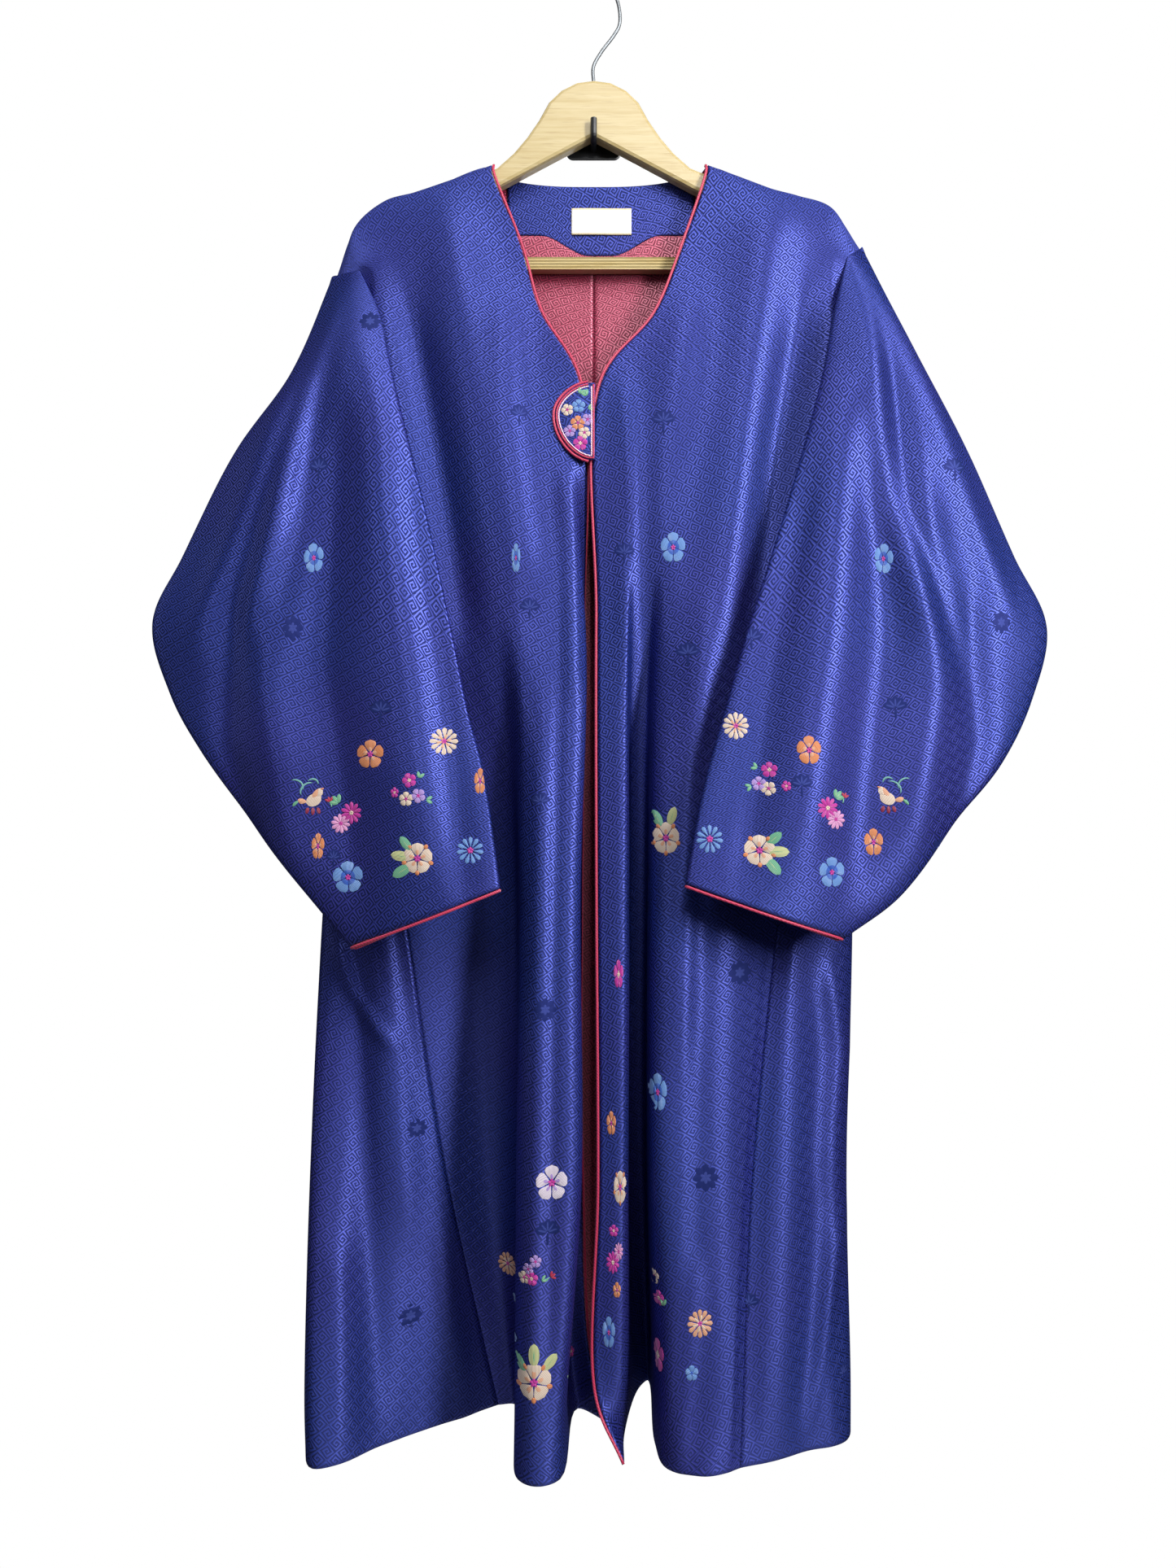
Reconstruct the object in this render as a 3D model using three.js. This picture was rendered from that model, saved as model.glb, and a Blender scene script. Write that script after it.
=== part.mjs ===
// A knee length silk coat jacket with open fronts, wide curved sleeves and side gussets,
// hanging on a wooden hanger whose notch rests in a small black wall hook.
// Millimetres. +X is the viewer's right, +Y goes into the wall, +Z is up.
// The origin is the middle of the wall plate's back face.
// Left and right are the wearer's, so left pieces lie at positive X.

import * as THREE from 'three';

// Driving dimensions
const cloth = 1.6;
const thinCloth = 1.0;
const seamGap = 0.3;
const layerGap = 0.35;
const hemZ = -1045;
const backY = -5;
const shoulderY = -14.5;
const neckBackZ = -53.5;
const pipingRadius = 1.1;
const joinShare = 0.25;
const woodBackY = -8;
const woodDepth = 13;
const woodBevel = 3;
const notchZ = -17.3;
const peakZ = 29.3;
const armEndX = 184;
const barZ = -121.5;
const barHeight = 10;
const barHalfLength = 150;
const wireRadius = 1.4;
const plateWidth = 46;
const plateHeight = 54;
const plateDepth = 4;
const rodRadius = 2.6;

// Heights of the measured levels below the chest
const levelZ = { underarm: -420, cuff: -640, thigh: -850, lower: -1005, hem: hemZ };

// Each row is a line down the wearer's left front: its share of the shoulder, then x and y at each level
const leftFrontLines = [
  {
    line: 'front edge', share: 0, underarm: [3.5, -58], cuff: [3.5, -85],
    thigh: [4.5, -112], lower: [2.5, -122], hem: [21, -140],
  },
  {
    line: 'strip end', share: 0.1, underarm: [25, -60], cuff: [24, -88],
    thigh: [22, -114], lower: [21, -116], hem: [22, -102],
  },
  {
    line: 'near valley', share: 0.18, underarm: [31, -54], cuff: [28, -38],
    thigh: [27, -28], lower: [33, -28], hem: [36, -30],
  },
  {
    line: 'far valley', share: 0.28, underarm: [45, -53], cuff: [42, -34],
    thigh: [41, -22], lower: [44, -17], hem: [45, -16],
  },
  {
    line: 'fold edge', share: 0.38, underarm: [54, -60], cuff: [46, -92],
    thigh: [45, -122], lower: [46, -118], hem: [46, -112],
  },
  {
    line: 'fold front', share: 0.52, underarm: [77, -65], cuff: [68, -97],
    thigh: [63, -128], lower: [54, -142], hem: [53, -147],
  },
  {
    line: 'fold middle', share: 0.72, underarm: [120, -60], cuff: [107, -84],
    thigh: [94, -115], lower: [80, -143], hem: [76, -156],
  },
  {
    line: 'side seam', share: 1, underarm: [190, -44], cuff: [147, -70],
    thigh: [119, -103], lower: [108, -136], hem: [105, -146],
  },
];

// The same for the wearer's right front, whose free edge rolls inwards behind its own column fold
const rightFrontLines = [
  {
    line: 'front edge', share: 0, underarm: [-8, -44], cuff: [-10, -62],
    thigh: [-10, -58], lower: [-3, -66], hem: [12, -84],
  },
  {
    line: 'tuck', share: 0.05, underarm: [-9, -52], cuff: [-14, -74],
    thigh: [-16, -66], lower: [-19, -58], hem: [-13, -62],
  },
  {
    line: 'roll', share: 0.12, underarm: [-8, -60], cuff: [-12, -98],
    thigh: [-12, -130], lower: [-24, -152], hem: [-25, -160],
  },
  {
    line: 'column front', share: 0.24, underarm: [-29, -66], cuff: [-30, -105],
    thigh: [-32, -137], lower: [-38, -159], hem: [-38, -169],
  },
  {
    line: 'column edge', share: 0.4, underarm: [-58, -64], cuff: [-54, -97],
    thigh: [-54, -129], lower: [-54, -150], hem: [-54, -160],
  },
  {
    line: 'near valley', share: 0.55, underarm: [-78, -57], cuff: [-62, -62],
    thigh: [-61, -64], lower: [-59, -75], hem: [-58, -80],
  },
  {
    line: 'far valley', share: 0.75, underarm: [-115, -54], cuff: [-90, -52],
    thigh: [-82, -50], lower: [-67, -55], hem: [-63, -55],
  },
  {
    line: 'side seam', share: 1, underarm: [-190, -44], cuff: [-152, -63],
    thigh: [-118, -64], lower: [-85, -57], hem: [-76, -56],
  },
];

// Lines round each side gusset, from the front seam to the back seam
const leftGussetLines = [
  {
    line: 'front seam', underarm: [190, -44], cuff: [147, -70],
    thigh: [119, -103], lower: [108, -136], hem: [105, -146],
  },
  {
    line: 'front', underarm: [197, -37], cuff: [182, -62],
    thigh: [160, -96], lower: [150, -122], hem: [150, -127],
  },
  {
    line: 'side', underarm: [201, -28], cuff: [207, -45],
    thigh: [196, -72], lower: [192, -100], hem: [190, -108],
  },
  {
    line: 'behind', underarm: [199, -19], cuff: [203, -26],
    thigh: [194, -38], lower: [194, -48], hem: [193, -52],
  },
  {
    line: 'back seam', underarm: [193, -12], cuff: [178, -14],
    thigh: [168, -16], lower: [162, -18], hem: [160, -19],
  },
];

const rightGussetLines = [
  {
    line: 'front seam', underarm: [-190, -44], cuff: [-152, -63],
    thigh: [-118, -64], lower: [-85, -57], hem: [-76, -56],
  },
  {
    line: 'front', underarm: [-197, -37], cuff: [-190, -57],
    thigh: [-168, -84], lower: [-145, -98], hem: [-138, -100],
  },
  {
    line: 'side', underarm: [-202, -28], cuff: [-217, -42],
    thigh: [-215, -92], lower: [-207, -136], hem: [-203, -147],
  },
  {
    line: 'behind', underarm: [-200, -19], cuff: [-210, -24],
    thigh: [-212, -44], lower: [-212, -66], hem: [-210, -74],
  },
  {
    line: 'back seam', underarm: [-193, -12], cuff: [-180, -14],
    thigh: [-172, -16], lower: [-165, -18], hem: [-162, -19],
  },
];

// Lines down the left back panel, from the centre back to the side; the right one is its mirror
const backLines = [
  { line: 'centre back', underarm: [0, -5], cuff: [0, -6], thigh: [0, -7], lower: [0, -7], hem: [0, -7] },
  {
    line: 'inner fold', underarm: [36, -5], cuff: [38, -5],
    thigh: [42, -4], lower: [44, -4], hem: [44, -4],
  },
  {
    line: 'neck turn', underarm: [72, -5], cuff: [72, -5],
    thigh: [72, -6], lower: [72, -8], hem: [72, -8],
  },
  {
    line: 'neck point', underarm: [92, -5], cuff: [90, -6],
    thigh: [88, -8], lower: [88, -10], hem: [88, -10],
  },
  {
    line: 'outer fold', underarm: [128, -5], cuff: [120, -7],
    thigh: [114, -6], lower: [112, -6], hem: [112, -6],
  },
  {
    line: 'blade', underarm: [166, -7], cuff: [150, -9],
    thigh: [142, -9], lower: [138, -10], hem: [138, -10],
  },
  {
    line: 'back seam', underarm: [193, -12], cuff: [178, -14],
    thigh: [168, -16], lower: [162, -18], hem: [160, -19],
  },
];

// The back neck edge from the centre back to where it turns up behind the hanger's arm
const backNeck = {
  left: [[0, neckBackZ], [44, -51.5], [86, -46]],
  right: [[0, neckBackZ], [-40, -51.5], [-79.5, -45.6]],
};

// The top of each shoulder from the neck to the armhole seam
const shoulderTop = {
  left: [[94, -39.5], [120, -49], [150, -60], [183, -69], [203, -80], [220, -108]],
  right: [[-84, -39.5], [-110, -49], [-145, -61], [-176, -71], [-196, -90], [-212, -130]],
};

// The neck edge of each front below the shoulder, and the armhole edge at the same heights
const neckEdge = {
  left: [[73, -30, -112], [50, -38, -170], [6.5, -46, -228]],
  right: [[-60, -30, -112], [-44, -38, -168], [-12, -46, -228]],
};
const armholeFront = {
  left: [[207, -27, -124], [206, -31, -180], [204, -35, -240]],
  right: [[-190, -27, -134], [-192, -31, -185], [-194, -35, -240]],
};
const armholeBack = {
  left: [[213, -11, -130], [208, -9, -190], [204, -9, -250]],
  right: [[-206, -11, -140], [-203, -9, -195], [-201, -9, -250]],
};

// Rings along each sleeve: its top fold, outer fold and underarm seam, then how far the layers
// between them bow in Y: the front layer, the return behind it at its middle and low down, and
// the hidden layer near the seam and further up
const leftSleeveRings = [
  {
    ring: 'armhole', fold: [208.3, -28.4, -125.2], outer: [222.3, -15, -112.2],
    under: [199, -34, -416], bow: [2, 17, 20, -8, -4],
  },
  {
    ring: 'cap', fold: [193, -50, -175], outer: [263, -40, -211],
    under: [232, -50, -410], bow: [10, 22, 12, 3, 3],
  },
  {
    ring: 'upper', fold: [182, -60, -224], outer: [300, -48, -288],
    under: [270, -54, -420], bow: [14, 18, 8, 3, 3],
  },
  {
    ring: 'bicep', fold: [151, -76, -334], outer: [334, -55, -371],
    under: [318, -55, -428], bow: [15, 7, 3, 4, 4],
  },
  {
    ring: 'corner', fold: [117, -93, -438], outer: [357, -62, -427],
    under: [353, -57, -441], bow: [15, 3, 1, 5, 5],
  },
  {
    ring: 'elbow', fold: [99, -103, -498], outer: [343, -69, -485],
    under: [338, -64, -494], bow: [15, 2, 1, 5, 5],
  },
  {
    ring: 'forearm', fold: [87, -111, -537], outer: [316, -81, -534],
    under: [311, -76, -541], bow: [14, 2, 1, 5, 5],
  },
  {
    ring: 'wrist', fold: [79, -118, -568], outer: [277, -94, -579],
    under: [272, -89, -585], bow: [12, 2, 1, 5, 5],
  },
  {
    ring: 'near cuff', fold: [73, -124, -598], outer: [230, -106, -636],
    under: [227, -101, -640], bow: [12, 2, 1, 8, 8],
  },
  {
    ring: 'cuff', fold: [68, -128, -625], outer: [186, -118, -666],
    under: [184, -113, -667], bow: [12, 2, 1, 9, 9],
  },
];

const rightSleeveRings = [
  {
    ring: 'armhole', fold: [-191.9, -28.6, -137], outer: [-216.5, -15, -137],
    under: [-199.6, -34, -416], bow: [3, 17, 20, -8, -4],
  },
  {
    ring: 'cap', fold: [-172, -50, -176], outer: [-247, -40, -227],
    under: [-228, -50, -410], bow: [10, 22, 12, 3, 3],
  },
  {
    ring: 'upper', fold: [-160, -60, -226], outer: [-288, -48, -288],
    under: [-265, -54, -420], bow: [14, 18, 8, 3, 3],
  },
  {
    ring: 'bicep', fold: [-133, -76, -334], outer: [-327, -55, -371],
    under: [-312, -55, -428], bow: [15, 7, 3, 4, 4],
  },
  {
    ring: 'corner', fold: [-109, -93, -438], outer: [-348, -62, -423],
    under: [-345, -57, -441], bow: [15, 3, 1, 5, 5],
  },
  {
    ring: 'elbow', fold: [-96, -103, -498], outer: [-332, -69, -480],
    under: [-327, -64, -490], bow: [15, 2, 1, 5, 5],
  },
  {
    ring: 'forearm', fold: [-85, -111, -537], outer: [-305, -81, -524],
    under: [-299, -76, -532], bow: [14, 2, 1, 5, 5],
  },
  {
    ring: 'wrist', fold: [-79, -118, -568], outer: [-261, -94, -581],
    under: [-256, -89, -587], bow: [12, 2, 1, 5, 5],
  },
  {
    ring: 'near cuff', fold: [-74, -124, -600], outer: [-226, -106, -622],
    under: [-222, -101, -628], bow: [12, 2, 1, 8, 8],
  },
  {
    ring: 'cuff', fold: [-70, -128, -628], outer: [-182, -118, -672],
    under: [-180, -113, -673], bow: [12, 2, 1, 9, 9],
  },
];

// Colours from the real cloth, wood and metal
const navySilk = () => new THREE.MeshStandardMaterial({ color: 0x2f3f9a, roughness: 0.45, metalness: 0 });
const redSilk = () => new THREE.MeshStandardMaterial({ color: 0x9a2e45, roughness: 0.5, metalness: 0 });
const redPiping = () => new THREE.MeshStandardMaterial({ color: 0xc8305a, roughness: 0.5, metalness: 0 });
const whiteTape = () => new THREE.MeshStandardMaterial({ color: 0xf2f0ea, roughness: 0.8, metalness: 0 });
const paleWood = () => new THREE.MeshStandardMaterial({ color: 0xe8d9a0, roughness: 0.5, metalness: 0 });
const greyWire = () => new THREE.MeshStandardMaterial({ color: 0xa9abaa, roughness: 0.3, metalness: 0.9 });
const blackPaint = () => new THREE.MeshStandardMaterial({ color: 0x14181c, roughness: 0.4, metalness: 0.1 });

const vector = (p) => new THREE.Vector3(p[0], p[1], p[2]);
const mix = THREE.MathUtils.lerp;

// Points along a smooth line through the given ones, with so many steps between each two
function smoothLine(points, steps, closed = false) {
  const curve = new THREE.CatmullRomCurve3(points, closed, 'centripetal');
  const spans = closed ? points.length : points.length - 1;
  const result = [];
  for (let span = 0; span < spans; span += 1) {
    const count = Array.isArray(steps) ? steps[span] : steps;
    for (let step = 0; step < count; step += 1) {
      result.push(curve.getPoint((span + step / count) / spans));
    }
  }
  if (!closed) result.push(points[points.length - 1].clone());
  return result;
}

// A grid of points, smooth across each row and then smooth down each column
function smoothGrid(rows, across, down, closed = false) {
  const fineRows = rows.map((row) => smoothLine(row, across, closed));
  const columns = fineRows[0].map((_, index) => smoothLine(fineRows.map((row) => row[index]), down));
  return columns[0].map((_, index) => columns.map((column) => column[index]));
}

// The direction square to the grid at each of its points
function gridNormals(grid, closed = false) {
  const last = grid.length - 1;
  return grid.map((row, i) => row.map((_, j) => {
    const count = row.length;
    const before = closed ? (j - 1 + count) % count : Math.max(j - 1, 0);
    const after = closed ? (j + 1) % count : Math.min(j + 1, count - 1);
    const acrossStep = row[after].clone().sub(row[before]);
    const downStep = grid[Math.min(i + 1, last)][j].clone().sub(grid[Math.max(i - 1, 0)][j]);
    return acrossStep.cross(downStep).normalize();
  }));
}

// The grid moved along its own normals
function movedGrid(grid, distance, closed = false) {
  const normals = gridNormals(grid, closed);
  return grid.map((row, i) => row.map((point, j) => point.clone().addScaledVector(normals[i][j], distance)));
}

// A closed body from triangles, turned so that its faces point out
function closedBody(points, faces) {
  let volume = 0;
  for (const [a, b, c] of faces) {
    volume += points[a].dot(points[b].clone().cross(points[c]));
  }
  const order = volume < 0 ? faces.map(([a, b, c]) => [a, c, b]) : faces;
  const geometry = new THREE.BufferGeometry();
  const places = points.flatMap((p) => [p.x, p.y, p.z]);
  geometry.setAttribute('position', new THREE.Float32BufferAttribute(places, 3));
  geometry.setIndex(order.flat());
  geometry.computeVertexNormals();
  return geometry;
}

// A cloth wall with the grid in the middle of its thickness
function clothWall(grid, thickness, closed = false) {
  const outer = movedGrid(grid, thickness / 2, closed);
  const inner = movedGrid(grid, -thickness / 2, closed);
  const rows = grid.length;
  const count = grid[0].length;
  const points = [...outer.flat(), ...inner.flat()];
  const shift = rows * count;
  const faces = [];
  const quad = (a, b, c, d) => faces.push([a, b, c], [a, c, d]);
  const spans = closed ? count : count - 1;
  for (let i = 0; i < rows - 1; i += 1) {
    for (let j = 0; j < spans; j += 1) {
      const k = (j + 1) % count;
      const corners = [i * count + j, i * count + k, (i + 1) * count + k, (i + 1) * count + j];
      quad(...corners);
      quad(...corners.map((corner) => corner + shift).reverse());
    }
  }
  for (let j = 0; j < spans; j += 1) {
    const k = (j + 1) % count;
    const bottom = (rows - 1) * count;
    quad(k, j, j + shift, k + shift);
    quad(bottom + j, bottom + k, bottom + k + shift, bottom + j + shift);
  }
  if (!closed) {
    for (let i = 0; i < rows - 1; i += 1) {
      const a = i * count;
      const b = (i + 1) * count;
      quad(a, b, b + shift, a + shift);
      quad(b + count - 1, a + count - 1, a + count - 1 + shift, b + count - 1 + shift);
    }
  }
  return closedBody(points, faces);
}

// Draws the first or last column of a grid back from a seam
function pullBack(grid, side, distance) {
  const towards = (point, neighbour) => {
    const step = neighbour.clone().sub(point);
    point.addScaledVector(step.normalize(), distance);
  };
  if (side === 'first') grid.forEach((row) => towards(row[0], row[1]));
  if (side === 'last') grid.forEach((row) => towards(row[row.length - 1], row[row.length - 2]));
  return grid;
}

// A point on a line of pairs at a share of its length from 0 to 1
function alongShoulder(side, share) {
  const points = shoulderTop[side].map(([x, z]) => new THREE.Vector3(x, shoulderY, z - cloth / 2));
  return new THREE.CatmullRomCurve3(points, false, 'centripetal').getPointAt(share);
}

const levelRow = (lines, level) => lines.map((row) => vector([...row[level], levelZ[level]]));

// Where a front turns down over the shoulder: its depth, how far it is below the top and the
// share of the way to the armhole seam at its side
const shoulderTurn = [
  { y: -21.4, below: 2.2, armShare: 0.3 },
  { y: -24.3, below: 8, armShare: 0.7 },
];
const armSeamDrop = 1;
const chestBelly = [1, 2, 3];

// Rows of control points for a front panel, from the shoulder down to the hem
function frontRows(lines, side) {
  const top = lines.map((row) => alongShoulder(side, row.share));
  const shoulderEnd = top[top.length - 1];
  const armEnd = vector(armholeFront[side][0]);
  const turnRows = shoulderTurn.map(({ y, below, armShare }) => {
    const row = top.map((point) => new THREE.Vector3(point.x, y, point.z - below));
    const seam = row[row.length - 1];
    seam.copy(shoulderEnd).lerp(armEnd, armShare);
    seam.y = y;
    seam.z -= armSeamDrop;
    return row;
  });
  const upper = neckEdge[side].map((edge, index) => {
    const neck = vector(edge);
    const arm = vector(armholeFront[side][index]);
    return lines.map((row) => {
      const point = neck.clone().lerp(arm, row.share);
      point.y -= chestBelly[index] * Math.sin(Math.PI * row.share);
      return point;
    });
  });
  const lower = Object.keys(levelZ).map((level) => levelRow(lines, level));
  return [top, ...turnRows, ...upper, ...lower];
}

// The same for a back panel, which lies flat below its neck edge
const backTurn = [
  { y: -8.2, neckBelow: 1.8, below: 1.9 },
  { y: backY, neckBelow: 6, below: 8 },
];
const shoulderShares = [0, 0.34, 0.68, 1];
const backCentreZ = [-112, -170, -235];

// Rows of control points for a back panel; sign is 1 for the wearer's left and -1 for the right
function backRows(side, sign) {
  const neckCount = backNeck[side].length;
  const top = [
    ...backNeck[side].map(([x, z]) => new THREE.Vector3(x, backY, z)),
    ...shoulderShares.map((share) => alongShoulder(side, share)),
  ];
  const turnRows = backTurn.map(({ y, neckBelow, below }) => top.map((point, index) => (index < neckCount
    ? new THREE.Vector3(point.x, backY, point.z - neckBelow)
    : new THREE.Vector3(point.x, y, point.z - below))));
  const upper = armholeBack[side].map((arm, index) => backLines.map((row, place) => {
    const share = row.underarm[0] / backLines[backLines.length - 1].underarm[0];
    const z = mix(backCentreZ[index], arm[2], share ** 2);
    const y = place === backLines.length - 1 ? arm[1] : backY;
    return new THREE.Vector3(arm[0] * share, y, z);
  }));
  const lower = Object.keys(levelZ).map((level) => levelRow(backLines, level).map((point) => {
    point.x *= sign;
    return point;
  }));
  return [top, ...turnRows, ...upper, ...lower];
}

const sideBow = 0.8;

// A sleeve ring: the top fold, the front layer, the outer fold, the return behind it, the
// underarm seam and the hidden layer back to the top fold
function ringPoints(row) {
  const fold = vector(row.fold);
  const outer = vector(row.outer);
  const under = vector(row.under);
  const [front, behind, low, near, far] = row.bow;
  const between = (a, b, share, bow) => {
    const point = a.clone().lerp(b, share);
    point.y += bow;
    return point;
  };
  return [
    fold,
    between(fold, outer, 0.25, -front * sideBow),
    between(fold, outer, 0.5, -front),
    between(fold, outer, 0.75, -front * sideBow),
    outer,
    between(outer, under, 0.5, behind),
    between(outer, under, 0.93, low),
    under,
    between(under, fold, 0.3, near),
    between(under, fold, 0.65, far),
    between(under, fold, 0.88, far * 0.6),
  ];
}

const shoulderSeamHalf = 0.8;
const armSeamGap = 1.2;
const sideSeamGap = 0.5;
const centreSeamGap = 0.2;
const neckTurnColumn = 4;
const frontAcross = 2;
const frontDown = [1, 1, 2, 2, 2, 2, 2, 2, 2, 2];
const gussetDown = [1, 2, 2, 2, 2];
const backDown = [1, 1, 1, 1, 1, 2, 2, 2, 2, 2];
const sleeveAcross = 2;
const sleeveDown = [2, 2, 2, 2, 2, 1, 1, 1, 1];

function frontGrid(lines, side) {
  const grid = smoothGrid(frontRows(lines, side), frontAcross, frontDown);
  grid[0].forEach((point) => {
    point.y -= shoulderSeamHalf;
  });
  return pullBack(grid, 'last', armSeamGap);
}

// The row above a gusset only guides its curve, so that its seams follow those of the panels
function gussetGrid(lines, side) {
  const front = vector(armholeFront[side][2]);
  const back = vector(armholeBack[side][2]);
  const guide = lines.map((_, index) => front.clone().lerp(back, index / (lines.length - 1)));
  const rows = [guide, ...Object.keys(levelZ).map((level) => levelRow(lines, level))];
  const grid = smoothGrid(rows, 2, gussetDown).slice(1);
  pullBack(grid, 'first', sideSeamGap);
  return pullBack(grid, 'last', sideSeamGap);
}

function backGrid(side, sign) {
  const grid = smoothGrid(backRows(side, sign), 2, backDown);
  pullBack(grid, 'first', centreSeamGap);
  grid[0].slice(neckTurnColumn + 1).forEach((point) => {
    point.y += shoulderSeamHalf;
  });
  return pullBack(grid, 'last', sideSeamGap);
}

const sleeveGrid = (rings) => smoothGrid(rings.map(ringPoints), sleeveAcross, sleeveDown, true);

const grids = {
  front_left: frontGrid(leftFrontLines, 'left'),
  front_right: frontGrid(rightFrontLines, 'right'),
  gusset_left: gussetGrid(leftGussetLines, 'left'),
  gusset_right: gussetGrid(rightGussetLines, 'right'),
  back_left: backGrid('left', 1),
  back_right: backGrid('right', -1),
  sleeve_left: sleeveGrid(leftSleeveRings),
  sleeve_right: sleeveGrid(rightSleeveRings),
};

const jacket = new THREE.Group();

function addPiece(parent, name, geometry, material) {
  const mesh = new THREE.Mesh(geometry, material);
  mesh.name = name;
  parent.add(mesh);
  return mesh;
}

const basis = (x, y, z) => new THREE.Matrix4().makeBasis(vector(x), vector(y), vector(z));

// A flat outline in X and Z, given thickness from a height in Y towards the viewer
const facingForward = basis([1, 0, 0], [0, 0, 1], [0, -1, 0]);

// A round rod through a line of points, its section carried along without twisting
function rod(points, radius, sides) {
  const count = points.length;
  const tangents = points.map((_, index) => points[Math.min(index + 1, count - 1)].clone()
    .sub(points[Math.max(index - 1, 0)]).normalize());
  const start = Math.abs(tangents[0].y) < 0.9 ? new THREE.Vector3(0, 1, 0) : new THREE.Vector3(1, 0, 0);
  let side = start.cross(tangents[0]).normalize();
  const ring = [];
  points.forEach((point, index) => {
    const tangent = tangents[index];
    side = side.clone().addScaledVector(tangent, -side.dot(tangent)).normalize();
    const other = tangent.clone().cross(side);
    for (let step = 0; step < sides; step += 1) {
      const angle = (2 * Math.PI * step) / sides;
      const place = point.clone().addScaledVector(side, radius * Math.cos(angle));
      ring.push(place.addScaledVector(other, radius * Math.sin(angle)));
    }
  });
  const faces = [];
  for (let index = 0; index < count - 1; index += 1) {
    for (let step = 0; step < sides; step += 1) {
      const next = (step + 1) % sides;
      const a = index * sides + step;
      const b = index * sides + next;
      faces.push([a, b, b + sides], [a, b + sides, a + sides]);
    }
  }
  const last = (count - 1) * sides;
  for (let step = 1; step < sides - 1; step += 1) {
    faces.push([0, step + 1, step], [last, last + step, last + step + 1]);
  }
  return closedBody(ring, faces);
}

// Points beside the first column of a grid, where a piped edge is sewn on
function pipedEdge(grid, distance) {
  return grid.map((row) => {
    const outwards = row[0].clone().sub(row[1]).normalize();
    return row[0].clone().addScaledVector(outwards, distance);
  });
}

// The points of a line that lie at least so far apart, so that a rod turns without folding into itself
function spacedOut(points, least) {
  const kept = [points[0]];
  points.slice(1).forEach((point) => {
    if (point.distanceTo(kept[kept.length - 1]) >= least) kept.push(point);
  });
  return kept;
}

// Points just past the last ring of a sleeve, all round but for a small join
function cuffEdge(grid, distance) {
  const last = grid[grid.length - 1];
  const before = grid[grid.length - 2];
  const loop = last.map((point, index) => {
    const outwards = point.clone().sub(before[index]).normalize();
    return point.clone().addScaledVector(outwards, distance);
  });
  const start = loop[0].clone().lerp(loop[1], joinShare);
  const end = loop[0].clone().lerp(loop[loop.length - 1], joinShare);
  const least = 2 * pipingRadius;
  const kept = spacedOut([start, ...loop.slice(1)], least);
  if (kept[kept.length - 1].distanceTo(end) < least) kept.pop();
  return [...kept, end];
}

// The jacket: body panels, gussets and sleeves
const pipingReach = seamGap + pipingRadius + 0.3;
const panels = [
  ['front_left', grids.front_left],
  ['front_right', grids.front_right],
  ['side_gusset_left', grids.gusset_left],
  ['side_gusset_right', grids.gusset_right],
  ['back_left', grids.back_left],
  ['back_right', grids.back_right],
];
panels.forEach(([name, grid]) => addPiece(jacket, name, clothWall(grid, cloth), navySilk()));
addPiece(jacket, 'sleeve_left', clothWall(grids.sleeve_left, cloth, true), navySilk());
addPiece(jacket, 'sleeve_right', clothWall(grids.sleeve_right, cloth, true), navySilk());

// Red piping along both front edges and both cuffs
const pipings = [
  ['piping_front_left', pipedEdge(grids.front_left, pipingReach)],
  ['piping_front_right', pipedEdge(grids.front_right, pipingReach)],
  ['piping_cuff_left', cuffEdge(grids.sleeve_left, pipingReach + seamGap)],
  ['piping_cuff_right', cuffEdge(grids.sleeve_right, pipingReach + seamGap)],
];
pipings.forEach(([name, points]) => addPiece(jacket, name, rod(points, pipingRadius, 6), redPiping()));

// The back neck facing hangs inside the back panels, deepest at the centre
const liningReach = cloth / 2 + layerGap + thinCloth / 2;
const facingLeftX = -72;
const facingRightX = 84;
const facingCentreX = 6;
const facingDeepestZ = -110;
const facingSideRise = 17;
const neckRise = 14;
const neckHalfWidth = 94;
const facingTopZ = (x) => neckBackZ - 1.4 + neckRise * Math.abs(x / neckHalfWidth) ** 3;
const facingLowerZ = (x) => {
  const share = THREE.MathUtils.smoothstep(Math.abs(x - facingCentreX), 10, 52);
  return facingDeepestZ + facingSideRise * share;
};
const facingGrid = [];
const facingRows = 4;
const facingColumns = 14;
for (let i = 0; i <= facingRows; i += 1) {
  const row = [];
  for (let j = 0; j <= facingColumns; j += 1) {
    const x = mix(facingLeftX, facingRightX, j / facingColumns);
    const z = mix(facingTopZ(x), facingLowerZ(x), i / facingRows);
    row.push(new THREE.Vector3(x, backY - liningReach, z));
  }
  facingGrid.push(row);
}
addPiece(jacket, 'back_neck_facing', clothWall(facingGrid, thinCloth), navySilk());

// The woven label lies on the facing
const labelBox = { x: 6.5, z: -82, width: 50, height: 22 };
const labelGeometry = new THREE.BoxGeometry(labelBox.width, thinCloth, labelBox.height);
const label = addPiece(jacket, 'neck_label', labelGeometry, whiteTape());
label.position.set(labelBox.x, backY - liningReach - thinCloth - layerGap, labelBox.z);

// The back lining hangs inside the back panels from the facing to just above the hem, where it shows
function liningGrid(grid, sign) {
  const firstRow = 4;
  const fillColumns = (row) => row.slice(0, neckTurnColumn).flatMap((point, index) => [
    point.clone(),
    point.clone().lerp(row[index + 1], 0.5),
  ]).concat(row[neckTurnColumn].clone());
  const rows = grid.slice(firstRow).map(fillColumns);
  const last = rows.length - 1;
  rows[last] = rows[last].map((point, index) => point.clone().lerp(rows[last - 1][index], 0.9));
  const top = fillColumns(grid[firstRow - 1]).map((point) => {
    const z = facingLowerZ(point.x) - layerGap - seamGap;
    return new THREE.Vector3(point.x, backY, z);
  });
  return movedGrid([top, ...rows], -sign * liningReach);
}
addPiece(jacket, 'back_lining_left', clothWall(liningGrid(grids.back_left, 1), thinCloth), redSilk());
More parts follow.
